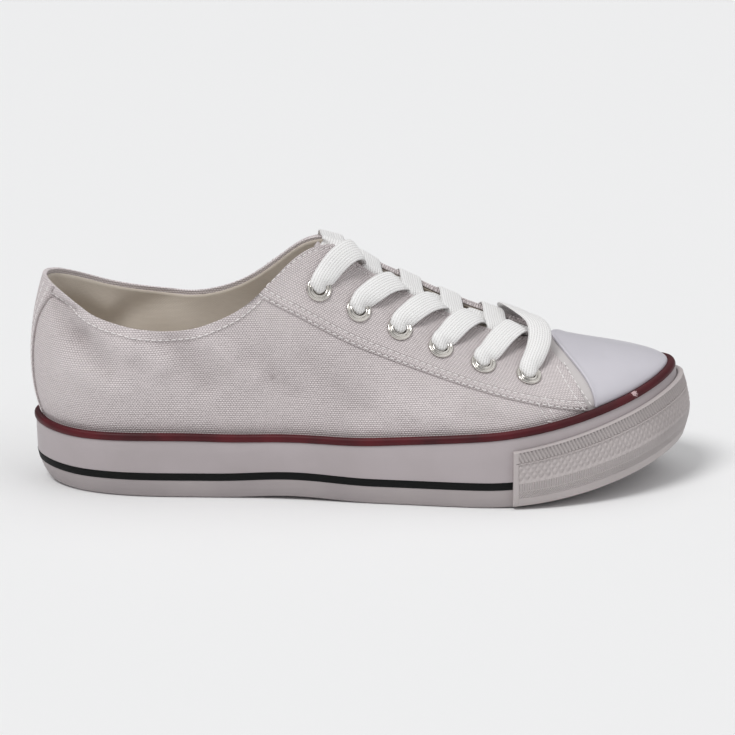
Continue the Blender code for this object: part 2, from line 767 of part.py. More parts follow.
def make_heel_strip(rings, tops):
    made = shell("heel_strip", rings, tops, GAP, STAY_THICKNESS, colour=CANVAS, roughness=0.95)
    right = [(strip.half * HEEL_WIDTH, strip.height * HEEL_HEIGHT) for strip in HEEL_STRIP]
    left = [(-half, height) for half, height in reversed(right)]
    combine(made, prism(right + left, "X", -LENGTH * 0.1, LENGTH * HEEL_CENTRE), "INTERSECT")
    clear = foxing_clear(-0.1, HEEL_CENTRE, OVERLAY_CLEAR)
    side_view = clear + [(LENGTH * HEEL_CENTRE, INSTEP_HEIGHT), (-LENGTH * 0.1, INSTEP_HEIGHT)]
    combine(made, prism(side_view, "Y", -HEEL_WIDTH, HEEL_WIDTH), "INTERSECT")
    made.data.shade_smooth()


def make_tongue():
    """Tongue: a curved strip that hangs below the throat and joins the vamp ahead of it."""
    along = np.linspace(TONGUE_BACK, TONGUE_FRONT, 12)
    drop = UPPER_WALL + GAP + TONGUE_DROP * ramp(along, TONGUE_SEAM, TONGUE_SEAM - TONGUE_FALL)
    shares = list(np.linspace(TONGUE_EDGE, 1.0, 4))
    outer, inner = [], []
    for position, depth in zip(along, drop):
        turn = float(turn_of(position))
        line = [(1 - turn, share) for share in shares]
        line += [(1 + turn, share) for share in reversed(shares[:-1])]
        around = np.array([pair[0] for pair in line])
        share = np.array([pair[1] for pair in line])
        surface = wall(around, share)
        out = wall_normal(around, share)
        outer.append(surface - out * depth)
        inner.append(surface - out * (depth + TONGUE_THICKNESS))
    width = len(outer[0])
    loops = [np.array([row[i] for row in outer]) for i in range(width)]
    loops += [np.array([row[i] for row in inner]) for i in reversed(range(width))]
    ring_body("tongue", loops, closed_path=False, colour=CANVAS, roughness=0.95)


def make_eyelets(seats):
    base = GAP + STAY_THICKNESS + EYELET_SEAT
    profile = (
        (EYELET_BORE, base + EYELET_ROLL * 0.55),
        ((EYELET_BORE + EYELET_FLANGE) / 2, base + EYELET_ROLL),
        (EYELET_FLANGE, base),
        (EYELET_BARREL, base),
        (EYELET_BARREL, -UPPER_WALL - EYELET_TAIL),
        (EYELET_BORE, -UPPER_WALL - EYELET_TAIL),
    )
    for side, row, around, share in seats:
        name = f"eyelet_{'lateral' if side < 0 else 'medial'}_{row}"
        lathe(name, seat_frame(around, share), profile, colour=STEEL, roughness=0.25, metallic=1.0)


def lace_point(row, side, share, offset, seats):
    """A point over the lacing. row may lie between two eyelets; share is how far across, as in Strand;
    offset is out of the upper's face."""
    mine = [seat for seat in seats if seat[0] == side]
    rows = [seat[1] for seat in mine]
    around = float(np.interp(row, rows, [seat[2] for seat in mine]))
    if row > rows[-1]:
        around += (mine[-1][2] - mine[-2][2]) * (row - rows[-1])
    eye = float(np.interp(row, rows, [seat[3] for seat in mine]))
    top = float(top_share(around)[0])
    level = eye + (top - eye) * min(share, 1.0)
    place = np.array(around), np.array(level)
    point, out = wall(*place), wall_normal(*place)
    if share > 1:
        mirrored = np.array(2 - around), top_share(2 - around)[0]
        blend = (share - 1) / 2
        point = point * (1 - blend) + wall(*mirrored) * blend
        out = out * (1 - blend) + wall_normal(*mirrored) * blend
        out = out / np.linalg.norm(out)
    return point + out * offset, out


def ribbon(name, controls, seats, steps):
    """A flat lace through control points (row, side, share, offset)."""
    places = [lace_point(*control, seats) for control in controls]
    knots = np.linspace(0, 1, len(places))
    line = [spline(knots, [place[0][axis] for place in places]) for axis in range(3)]
    face = [spline(knots, [place[1][axis] for place in places]) for axis in range(3)]
    at = np.linspace(0, 1, steps + 1)
    path = np.stack([axis(at) for axis in line], -1)
    out = np.stack([axis(at) for axis in face], -1)
    run = np.gradient(path, axis=0)
    run /= np.linalg.norm(run, axis=1, keepdims=True)
    across = np.cross(run, out)
    across /= np.linalg.norm(across, axis=1, keepdims=True)
    out = np.cross(across, run)
    half = LACE_WIDTH / 2
    thin = LACE_THICKNESS / 2
    narrow = half * (LACE_PINCH + (1 - LACE_PINCH) * ramp(at, 0.0, 0.3))[:, None]
    loops = [
        path - across * narrow - out * thin,
        path + across * narrow - out * thin,
        path + across * narrow + out * thin,
        path - across * narrow + out * thin,
    ]
    return ring_body(name, loops, closed_path=False, colour=LACE, roughness=0.9)


def make_laces(seats):
    """A crossing of two strips at each row but the last, which has a bar straight across. The strip from
    the lateral side passes on top, and each strip ends tucked under the opposite facing."""
    rise = GAP + STAY_THICKNESS + EYELET_SEAT + EYELET_ROLL + LACE_THICKNESS / 2 + LACE_CLEAR
    under = -(UPPER_WALL + LACE_THICKNESS / 2 + LACE_TUCK)
    for row in range(1, len(EYELETS)):
        strips = []
        for side, cross in ((-1, LACE_CROSSING + LACE_THICKNESS - GAP), (1, LACE_CROSSING)):
            sides = (side, side, side, side, -side, -side)
            offsets = (rise, LACE_ARCH, LACE_OVER_EDGE, cross, -LACE_THICKNESS, under)
            controls = [
                (row + strand.row, here, strand.across, offset)
                for strand, here, offset in zip(CROSSING, sides, offsets)
            ]
            strips.append(ribbon(f"lace_cross_{row}", controls, seats, 9))
        combine(strips[0], strips[1], "UNION")
    last = len(EYELETS)
    half_bar = list(zip(BAR, (rise, LACE_ARCH, BAR_OVER_EDGE, BAR_ARCH)))
    controls = [(last + strand.row, -1, strand.across, offset) for strand, offset in half_bar]
    controls += [(last + strand.row, 1, strand.across, offset) for strand, offset in half_bar[-2::-1]]
    ribbon(f"lace_bar_{last}", controls, seats, 12)


def rest_on_origin():
    """Moves the shoe so the middle of its footprint is the origin and the ground is z = 0."""
    corners = np.array([vertex.co[:] for each in bpy.data.objects for vertex in each.data.vertices])
    low, high = corners.min(axis=0), corners.max(axis=0)
    shift = Vector((-(low[0] + high[0]) / 2, -(low[1] + high[1]) / 2, -low[2]))
    for each in bpy.data.objects:
        for vertex in each.data.vertices:
            vertex.co += shift


for existing in list(bpy.data.objects):
    bpy.data.objects.remove(existing)
ring_stations = stations()
ring_tops = top_share(ring_stations)
eyelet_places = eyelet_seats()
make_sole(ring_stations)
make_insole(ring_stations)
make_bumper()
make_upper(ring_stations, ring_tops, eyelet_places)
make_eyestays(ring_stations, ring_tops, eyelet_places)
make_toe_cap(ring_stations, ring_tops)
make_heel_strip(ring_stations, ring_tops)
make_tongue()
make_eyelets(eyelet_places)
make_laces(eyelet_places)
rest_on_origin()
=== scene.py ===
import math
from functools import partial

import bmesh
import bpy
import numpy as np
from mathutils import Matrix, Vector


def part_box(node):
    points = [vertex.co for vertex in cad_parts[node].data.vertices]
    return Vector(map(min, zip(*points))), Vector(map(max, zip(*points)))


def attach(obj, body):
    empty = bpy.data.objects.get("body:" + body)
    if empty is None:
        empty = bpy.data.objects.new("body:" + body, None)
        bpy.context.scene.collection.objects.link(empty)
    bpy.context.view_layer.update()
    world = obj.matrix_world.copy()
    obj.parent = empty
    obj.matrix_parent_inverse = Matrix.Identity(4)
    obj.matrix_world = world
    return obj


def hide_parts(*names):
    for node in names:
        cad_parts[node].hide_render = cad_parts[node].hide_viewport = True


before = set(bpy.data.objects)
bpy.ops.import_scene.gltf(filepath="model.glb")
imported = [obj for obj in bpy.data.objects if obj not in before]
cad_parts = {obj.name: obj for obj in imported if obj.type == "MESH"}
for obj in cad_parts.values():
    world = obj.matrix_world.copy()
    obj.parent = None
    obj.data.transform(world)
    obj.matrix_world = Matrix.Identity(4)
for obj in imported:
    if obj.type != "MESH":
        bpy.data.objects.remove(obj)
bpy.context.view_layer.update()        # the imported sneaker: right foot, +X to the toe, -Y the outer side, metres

mm = 0.001
print("frame loaded:", len(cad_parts), "nodes")

# The last: driving sizes in metres, the same as the solids'.
last = {
    "length": 0.2617, "ballWidth": 0.095, "waistWidth": 0.071, "heelWidth": 0.068,
    "heelHeight": 0.0857, "collarHeight": 0.0675, "instepHeight": 0.0925,
    "toeSpring": 0.0155, "springStart": 0.68, "springPower": 1.8,
    "archLift": 0.0012, "heelFlatEnd": 0.28, "ballFlatStart": 0.52,
    "heelRoll": 0.0016, "heelRollEnd": 0.09, "heelCentre": 0.14, "toeCentre": 0.875,
    "gap": 0.0003,
}
sole = {
    "foxingHeight": 0.0265, "foxingThickness": 0.0024, "outsoleEdge": 0.0068, "plateau": 0.0095,
    "stripeHeight": 0.0028, "stripeProud": 0.0002, "pipingHeight": 0.0025,
    "insoleThickness": 0.0045,
}
throat = {"gap": 0.026, "front": 0.775, "round": 0.70, "back": 0.36, "collarFront": 0.52}

# Plan of the sole: along the shoe, the width that counts there, and each side's share of it.
planRows = (
    (0.000, "heelWidth", 0.000, 0.000), (0.030, "heelWidth", 0.270, 0.270),
    (0.080, "heelWidth", 0.410, 0.405), (0.150, "heelWidth", 0.490, 0.475),
    (0.250, "heelWidth", 0.510, 0.490), (0.380, "waistWidth", 0.515, 0.460),
    (0.480, "waistWidth", 0.575, 0.465), (0.580, "ballWidth", 0.470, 0.385),
    (0.660, "ballWidth", 0.500, 0.440), (0.730, "ballWidth", 0.505, 0.475),
    (0.800, "ballWidth", 0.470, 0.485), (0.870, "ballWidth", 0.390, 0.460),
    (0.930, "ballWidth", 0.275, 0.395), (0.975, "ballWidth", 0.125, 0.285),
    (1.000, "ballWidth", -0.090, 0.090),
)
# The sole's side: along, then height, lean of the foot and of the crown in shares of foxingHeight.
sideRows = (
    (0.00, 0.980, 0.189, 0.000), (0.12, 0.980, 0.113, 0.008), (0.25, 0.990, 0.075, 0.015),
    (0.40, 0.955, 0.060, 0.015), (0.55, 1.025, 0.053, 0.023), (0.65, 1.095, 0.045, 0.045),
    (0.73, 1.150, 0.045, 0.075), (0.80, 1.185, 0.053, 0.113), (0.87, 1.210, 0.068, 0.151),
    (0.94, 1.225, 0.106, 0.196), (1.00, 1.220, 0.121, 0.219),
)
# The upper's sections: along, ridge (of instepHeight), tilt, bellies (of heelWidth), rise, reach.
sectionRows = (
    (0.000, 1.250, 0.00, 0.168, 0.168, 0.33, 0.85), (0.100, 1.260, 0.00, 0.152, 0.152, 0.40, 0.85),
    (0.200, 1.280, 0.00, 0.103, 0.103, 0.55, 0.84), (0.300, 1.280, 0.02, 0.074, 0.088, 0.55, 0.80),
    (0.400, 1.220, 0.06, 0.059, 0.088, 0.55, 0.68), (0.460, 1.100, 0.12, 0.044, 0.088, 0.52, 0.58),
    (0.520, 0.975, 0.20, 0.029, 0.088, 0.50, 0.50), (0.570, 0.895, 0.26, 0.026, 0.088, 0.50, 0.46),
    (0.630, 0.800, 0.28, 0.024, 0.074, 0.50, 0.42), (0.700, 0.712, 0.24, 0.022, 0.059, 0.50, 0.40),
    (0.765, 0.640, 0.12, 0.018, 0.029, 0.50, 0.42), (0.840, 0.581, 0.04, 0.012, 0.012, 0.58, 0.50),
    (0.900, 0.556, 0.00, 0.006, 0.006, 0.52, 0.55), (1.000, 0.540, 0.00, 0.000, 0.000, 0.22, 0.50),
)
# The collar's edge: along, then the outer and inner side's height in shares of collarHeight.
collarRows = (
    (0.000, 1.270, 1.270), (0.030, 1.225, 1.225), (0.100, 1.085, 1.105), (0.175, 1.010, 1.040),
    (0.236, 1.005, 1.020), (0.282, 1.055, 1.050), (0.328, 1.150, 1.125), (0.374, 1.315, 1.255),
    (0.405, 1.415, 1.350), (0.435, 1.450, 1.400), (0.480, 1.420, 1.410), (0.520, 1.380, 1.400),
)
# Middle line of the last: along, shift to the inner side in shares of ballWidth.
centreRows = (
    (0.00, 0.000), (0.14, 0.000), (0.45, 0.010), (0.60, 0.021), (0.75, 0.032), (0.88, 0.063), (1.00, 0.090),
)
# The eyelets from the ankle to the toe: along, then the share of the way up to the upper's edge.
eyeletRows = (
    (0.4350, 0.709), (0.4935, 0.665), (0.5551, 0.668), (0.6160, 0.646), (0.6803, 0.612), (0.7503, 0.540),
)


def unit(vectors):
    return vectors / np.linalg.norm(vectors, axis=-1, keepdims=True)


# the distance walked along a row of points, or down each column of a grid of them
def walked(points):
    steps = np.linalg.norm(np.diff(points, axis=0), axis=-1)
    return np.concatenate([np.zeros((1,) + steps.shape[1:]), np.cumsum(steps, axis=0)])


def spline(knots, values):
    x = np.asarray(knots, float)
    y = np.asarray(values, float)
    step = np.diff(x)
    size = len(x)
    system = np.eye(size)
    right = np.zeros(size)
    for i in range(1, size - 1):
        system[i, i - 1 : i + 2] = step[i - 1], 2 * (step[i - 1] + step[i]), step[i]
        right[i] = 6 * ((y[i + 1] - y[i]) / step[i] - (y[i] - y[i - 1]) / step[i - 1])
    bend = np.linalg.solve(system, right)

    def value(at):
        at = np.clip(np.asarray(at, float), x[0], x[-1])
        i = np.clip(np.searchsorted(x, at, side="right") - 1, 0, size - 2)
        h = step[i]
        a = (x[i + 1] - at) / h
        b = (at - x[i]) / h
        return a * y[i] + b * y[i + 1] + ((a**3 - a) * bend[i] + (b**3 - b) * bend[i + 1]) * h**2 / 6

    return value


def turnOf(along):
    return np.arccos(1 - 2 * np.clip(np.asarray(along, float), 0, 1)) / math.pi


def alongOf(turn):
    return (1 - np.cos(math.pi * np.asarray(turn, float))) / 2


def ramp(value, start, end):
    return np.clip((np.asarray(value, float) - start) / (end - start), 0, 1)


def smooth(value, start, end):
    t = ramp(value, start, end)
    return t * t * (3 - 2 * t)


def byTurn(rows, column, unit=1.0):
    return spline([turnOf(row[0]) for row in rows], [row[column] * unit for row in rows])


outerEdge = spline([turnOf(row[0]) for row in planRows], [-last[row[1]] * row[2] for row in planRows])
innerEdge = spline([turnOf(row[0]) for row in planRows], [last[row[1]] * row[3] for row in planRows])
sideHeight = byTurn(sideRows, 1, sole["foxingHeight"])
sideFoot = byTurn(sideRows, 2, sole["foxingHeight"])
sideCrown = byTurn(sideRows, 3, sole["foxingHeight"])
ridgeHeight = byTurn(sectionRows, 1, last["instepHeight"])
ridgeTilt = byTurn(sectionRows, 2)
bellyOuter = byTurn(sectionRows, 3, last["heelWidth"])
bellyInner = byTurn(sectionRows, 4, last["heelWidth"])
wallRise = byTurn(sectionRows, 5)
wallReach = byTurn(sectionRows, 6)
centreLine = spline([row[0] for row in centreRows], [row[1] * last["ballWidth"] for row in centreRows])
collarOuter = spline([row[0] for row in collarRows], [row[1] * last["collarHeight"] for row in collarRows])
collarInner = spline([row[0] for row in collarRows], [row[2] * last["collarHeight"] for row in collarRows])


# around runs 0 at the toe, 1 at the heel and back to 2 at the toe: outer side first, then inner side
def outline(around):
    around = np.mod(np.asarray(around, float), 2)
    turn = np.abs(1 - around)
    across = np.where(around <= 1, outerEdge(turn), innerEdge(turn))
    return np.stack([last["length"] * alongOf(turn), across], -1)


def outward(around):
    tangent = outline(np.asarray(around) + 1e-3) - outline(np.asarray(around) - 1e-3)
    return unit(np.stack([-tangent[..., 1], tangent[..., 0]], -1))


def groundLift(x):
    along = np.asarray(x) / last["length"]
    toe = last["toeSpring"] * ramp(along, last["springStart"], 1.0) ** last["springPower"]
    arch = last["archLift"] * np.sin(math.pi * ramp(along, last["heelFlatEnd"], last["ballFlatStart"])) ** 2
    return toe + arch + last["heelRoll"] * ramp(along, last["heelRollEnd"], 0.0) ** 2


def sidePoint(around, height, inset, fromTop=False):
    around = np.asarray(around, float)
    turn = np.abs(1 - np.mod(around, 2))
    full = sideHeight(turn)
    level = (full - height) / full if fromTop else height / full + 0 * full
    lean = sideFoot(turn) * ramp(level, 0.5, 0) ** 2 + sideCrown(turn) * ramp(level, 0.3, 1) ** 1.5
    plan = outline(around) - outward(around) * (lean + inset)[..., None]
    low = groundLift(plan[..., 0])
    high = low + sideHeight(turnOf(plan[..., 0] / last["length"]))
    return np.concatenate([plan, (low + (high - low) * level)[..., None]], -1)


def ridgePoint(turn):
    along = np.clip(alongOf(turn), last["heelCentre"], last["toeCentre"])
    return np.stack([last["length"] * along, centreLine(along), ridgeHeight(turnOf(along))], -1)


# a point of the upper's face: share 0 at the foxing, 1 on the ridge over the foot
def wall(around, share):
    around = np.asarray(around, float)
    v = np.asarray(share, float)[..., None]
    turn = np.abs(1 - np.mod(around, 2))
    along = np.clip(alongOf(turn), last["heelCentre"], last["toeCentre"])
    start = sidePoint(around, 0.0, sole["foxingThickness"] + last["gap"], fromTop=True)
    start[..., 2] += last["gap"]
    end = ridgePoint(turn)
    out = np.concatenate([outward(around), np.zeros(around.shape + (1,))], -1)
    up = np.array([0.0, 0.0, 1.0])
    belly = np.where(np.mod(around, 2) <= 1, bellyOuter(turn), bellyInner(turn))[..., None]
    first = start + out * belly + up * (end - start)[..., 2:] * wallRise(turn)[..., None]
    side = (start - end) * np.array([1.0, 1.0, 0.0]) * wallReach(turn)[..., None]
    reach = 0.004
    slope = ridgeHeight(turnOf(along + reach)) - ridgeHeight(turnOf(along - reach))
    slope = np.where(alongOf(turn) > 0.5, slope / (2 * reach * last["length"]), 0)
    second = end + side + up * (slope * side[..., 0] + ridgeTilt(turn) * side[..., 1])[..., None]
    return (1 - v) ** 3 * start + 3 * (1 - v) ** 2 * v * first + 3 * (1 - v) * v**2 * second + v**3 * end


def wallNormal(around, share):
    around = np.asarray(around, float)
    share = np.asarray(share, float)
    along = wall(around + 1e-3, share) - wall(around - 1e-3, share)
    rising = wall(around, np.minimum(share + 1e-3, 1.0)) - wall(around, share - 1e-3)
    return unit(np.cross(rising, along))


def throatHalf(along):
    end = np.clip(1 - ramp(along, throat["round"], throat["front"]) ** 2.5, 0, 1)
    return throat["gap"] / 2 * np.sqrt(end)


# the wall share where the upper ends, found on coarse steps and then halved down to a smooth edge
def topShare(around):
    around = np.atleast_1d(np.asarray(around, float))

    def past(station, share):
        point = wall(station, share)
        along = point[..., 0] / last["length"]
        collar = np.where(np.mod(station, 2) <= 1, collarOuter(along), collarInner(along))
        over = np.where(along < throat["collarFront"], point[..., 2] - collar, -1.0)
        inThroat = throatHalf(along) - np.abs(point[..., 1] - centreLine(along))
        return np.maximum(over, np.where(along > throat["back"], inThroat, -1.0)) > 0

    steps = np.linspace(0, 1, 161)
    grid = past(np.repeat(around[:, None], len(steps), 1), np.repeat(steps[None], len(around), 0))
    first = np.argmax(grid, axis=1)
    found = grid.any(axis=1)
    high = steps[first]
    low = steps[np.maximum(first - 1, 0)]
    for _ in range(16):
        middle = (low + high) / 2
        hit = past(around, middle)
        high = np.where(hit, middle, high)
        low = np.where(hit, low, middle)
    return np.where(found, high, 1.0)


edgeAround = np.linspace(0, 2, 3001)
edgeShare = topShare(edgeAround)


def topAt(around):
    return np.interp(np.mod(around, 2), edgeAround, edgeShare)


def ringStations(count):
    plain = np.arange(count // 2 + 1) * 2 / count
    throatEnd = 1 - turnOf(throat["front"] - 0.075 * (np.linspace(0, 1, count // 10) ** 2))
    outerHalf = np.unique(np.round(np.concatenate([plain, throatEnd]), 5))
    keep = np.concatenate([[True], np.diff(outerHalf) > 4e-4])
    outerHalf = outerHalf[keep]
    return np.concatenate([outerHalf, 2 - outerHalf[-2:0:-1]])


ring = ringStations(520)
ringCount = len(ring)
ringTops = topAt(ring)
coarseRing = np.arange(64) / 32
toRow = np.array(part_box("stripe_dark")[0]) - sidePoint(
    coarseRing, sole["outsoleEdge"] + last["gap"], -sole["stripeProud"]).min(axis=0)
toRow[2] = 0.0
print("last worked out, moved by", np.round(toRow * 1000, 2))

# A crease fades out before the toe, between these shares of length.
creaseFade = (0.78, 0.70)
# Creases, outer side first: from (along, height) to (along, height), then width and depth in mm; a
# trough is negative. Lengths are shares of length and instepHeight.
creases = {
    "outer": (
        (0.032, 0.838, 0.070, 0.806, 1.3, -1.8), (0.044, 0.790, 0.074, 0.690, 4.6, -2.5),
        (0.096, 0.770, 0.150, 0.640, 3.8, 1.8), (0.084, 0.690, 0.124, 0.540, 5.0, -1.8),
        (0.162, 0.700, 0.200, 0.590, 4.6, 2.0), (0.060, 0.560, 0.130, 0.500, 6.0, 1.4),
        (0.222, 0.690, 0.268, 0.500, 5.0, -1.9), (0.270, 0.700, 0.340, 0.540, 5.0, 1.6),
        (0.330, 0.600, 0.400, 0.470, 5.0, -1.4), (0.420, 0.600, 0.500, 0.400, 6.0, -1.3),
        (0.560, 0.430, 0.620, 0.350, 6.0, 0.8), (0.660, 0.400, 0.720, 0.340, 5.0, -0.6),
    ),
    "inner": (
        (0.040, 0.790, 0.100, 0.680, 6.0, -2.2), (0.130, 0.640, 0.200, 0.720, 6.0, 1.4),
        (0.230, 0.560, 0.300, 0.420, 8.0, -1.3), (0.350, 0.700, 0.430, 0.500, 8.0, 1.1),
        (0.480, 0.520, 0.560, 0.400, 7.0, -1.0), (0.620, 0.420, 0.690, 0.350, 6.0, 0.6),
    ),
}


def creaseDepth(point, inner):
    depth = np.zeros(point.shape[:-1])
    for key, rows in creases.items():
        mine = (inner if key == "inner" else ~inner).astype(float)
        for a, b, c, d, width, deep in rows:
            start = np.array([a * last["length"], b * last["instepHeight"]])
            run = np.array([c * last["length"], d * last["instepHeight"]]) - start
            flat = point[..., (0, 2)] - start
            t = np.clip(flat @ run / (run @ run), 0, 1)
            away = np.linalg.norm(flat - t[..., None] * run, axis=-1)
            depth += mine * deep * mm * np.exp(-((away / (width * mm)) ** 2))
    return depth


# the face's normal, blended with the other side's near the ridge so that both sides meet there
def skinNormal(around, share):
    blend = (0.5 * smooth(share, 0.84, 1.0))[..., None]
    near = wallNormal(around, np.minimum(share, 0.9985))
    far = wallNormal(2 - np.asarray(around, float), np.minimum(share, 0.9985))
    return unit(near * (1 - blend) + far * blend)


# where the wall has the given first coordinate (0 for x, 1 for y) and height
def findOnWall(first, height, axis, around):
    around = np.array(around, float)
    for _ in range(7):
        low, high = np.zeros(around.shape), np.ones(around.shape)
        for _ in range(22):
            share = (low + high) / 2
            under = wall(around, share)[..., 2] < height
            low = np.where(under, share, low)
            high = np.where(under, high, share)
        slope = (wall(around + 1e-3, share)[..., axis] - wall(around - 1e-3, share)[..., axis]) / 2e-3
        slope = np.where(np.abs(slope) < 0.01, np.sign(slope) * 0.01 + (slope == 0) * 0.01, slope)
        around = around + np.clip((first - wall(around, share)[..., axis]) / slope, -0.03, 0.03)
    return around, share


# the upper's skin, offset out of its face, with its creases; every layer of cloth is made from it
def skin(around, share, offset):
    around = np.asarray(around, float)
    share = np.asarray(share, float)
    point = wall(around, share)
    inner = np.mod(around, 2) > 1
    fade = smooth(share, 0.0, 0.12) * smooth(point[..., 0] / last["length"], *creaseFade)
    lift = offset + creaseDepth(point, inner) * fade
    return point + skinNormal(around, share) * lift[..., None]


def gridFaces(rows, columns, wrap=False, flip=False):
    k, i = np.meshgrid(np.arange(rows - 1), np.arange(columns if wrap else columns - 1), indexing="ij")
    j = (i + 1) % columns
    quads = [k * columns + i, (k + 1) * columns + i, (k + 1) * columns + j, k * columns + j]
    quads = np.stack(quads[::-1] if flip else quads, -1)
    return quads.reshape(-1, 4)


def spokes(count, start=0.0):
    angles = start + 2 * math.pi * np.arange(count) / count
    return np.stack([np.cos(angles), np.sin(angles)], -1)


def newObject(name, data):
    made = bpy.data.objects.new(name, data)
    bpy.context.scene.collection.objects.link(made)
    return made


def addMesh(name, points, faces, uv=None, layers=None, move=toRow):
    mesh = bpy.data.meshes.new(name)
    faces = faces.tolist() if isinstance(faces, np.ndarray) else faces
    mesh.from_pydata((np.asarray(points).reshape(-1, 3) + move).tolist(), [], faces)
    if uv is not None:
        corner = np.empty(len(mesh.loops), np.int32)
        mesh.loops.foreach_get("vertex_index", corner)
        flat = np.asarray(uv, np.float32).reshape(-1, 2)
        mesh.uv_layers.new(name="thread").data.foreach_set("uv", flat[corner].ravel())
    for key, values in (layers or {}).items():
        layer = mesh.attributes.new(key, "FLOAT", "POINT")
        layer.data.foreach_set("value", np.asarray(values, np.float32).ravel())
    mesh.shade_smooth()
    return newObject(name, mesh)


def weld(piece, distance=1e-7):
    work = bmesh.new()
    work.from_mesh(piece.data)
    bmesh.ops.remove_doubles(work, verts=work.verts, dist=distance)
    bmesh.ops.dissolve_degenerate(work, edges=work.edges, dist=1e-7)
    bmesh.ops.recalc_face_normals(work, faces=work.faces)
    work.to_mesh(piece.data)
    work.free()


# A closed sheet of two faces and the rims between them. shut marks the columns whose tops meet the
# other side's, which have no rim there.
def sheetMesh(name, outer, inner, uv, wrap=False, shut=None, paintedShading=None):
    rows, columns = outer.shape[:2]
    size = rows * columns
    top = (rows - 1) * columns
    i = np.arange(columns if wrap else columns - 1)
    j = (i + 1) % columns
    faces = [gridFaces(rows, columns, wrap), size + gridFaces(rows, columns, wrap, flip=True)]
    faces.append(np.stack([i, j, j + size, i + size], -1))
    if shut is not None:
        rimmed = ~(shut[i] & shut[j])
        i, j = i[rimmed], j[rimmed]
    faces.append(np.stack([j + top, i + top, i + top + size, j + top + size], -1))
    if not wrap:
        a = np.arange(rows - 1) * columns
        b = a + columns
        faces.append(np.stack([b, a, a + size, b + size], -1))
        a, b = a + columns - 1, b + columns - 1
        faces.append(np.stack([a, b, b + size, a + size], -1))
    points = np.concatenate([outer.reshape(-1, 3), inner.reshape(-1, 3)])
    # painted shade and light, on the outer face only
    layers = {} if paintedShading is None else {"paintedShading": np.concatenate([paintedShading, 0 * paintedShading])}
    made = addMesh(name, points, np.concatenate(faces), np.concatenate([uv, uv]), layers)
    weld(made, 0.004 * mm)
    return made


def applyAll(piece):
    mesh = bpy.data.meshes.new_from_object(piece.evaluated_get(bpy.context.evaluated_depsgraph_get()))
    piece.modifiers.clear()
    old = piece.data
    piece.data = mesh
    bpy.data.meshes.remove(old)
    mesh.shade_smooth()


def modify(piece, kind, **values):
    modifier = piece.modifiers.new(kind.lower(), kind)
    for key, value in values.items():
        setattr(modifier, key, value)
    applyAll(piece)


def bevel(piece, width, segments=2, degrees=60):
    modify(piece, "BEVEL", width=width, segments=segments, limit_method="ANGLE",
           angle_limit=math.radians(degrees))


def dress(piece, materials, slotName, *nodes):
    piece.data.materials.clear()
    for each in materials:
        piece.data.materials.append(each)
    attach(piece, "root")
    if nodes:
        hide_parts(*nodes)
    print("made", piece.name, len(piece.data.polygons), "faces")
    return piece
    return piece


def hexColour(code):
    channels = [int(code[i : i + 2], 16) / 255 for i in (1, 3, 5)]
    return (*[c / 12.92 if c <= 0.04045 else ((c + 0.055) / 1.055) ** 2.4 for c in channels], 1.0)


def setSockets(node, values):
    for key, value in values.items():
        if isinstance(value, bpy.types.NodeSocket):
            node.id_data.links.new(value, node.inputs[key])
        else:
            node.inputs[key].default_value = value


# Adds one node of any kind and gives one of its outputs. Inputs go to its sockets in order, or by name or
# number in named; stops are a colour ramp's two places and colours; the rest are the node's settings.
def addNode(tree, kind, *inputs, named=None, stops=(), output=0, **settings):
    node = tree.nodes.new(kind)
    for key, value in settings.items():
        setattr(node, key, value)
    setSockets(node, {**dict(enumerate(inputs)), **(named or {})})
    if stops:
        for element, (position, code) in zip(node.color_ramp.elements, stops):
            element.position = position
            element.color = hexColour(code)
    return node.outputs[output]


def startMaterial(name, sockets):
    made = bpy.data.materials.new(name)
    made.use_nodes = True
    shader = made.node_tree.nodes["Principled BSDF"]
    setSockets(shader, sockets)
    return made, partial(addNode, made.node_tree), shader


calc = "ShaderNodeMath"
noise = "ShaderNodeTexNoise"
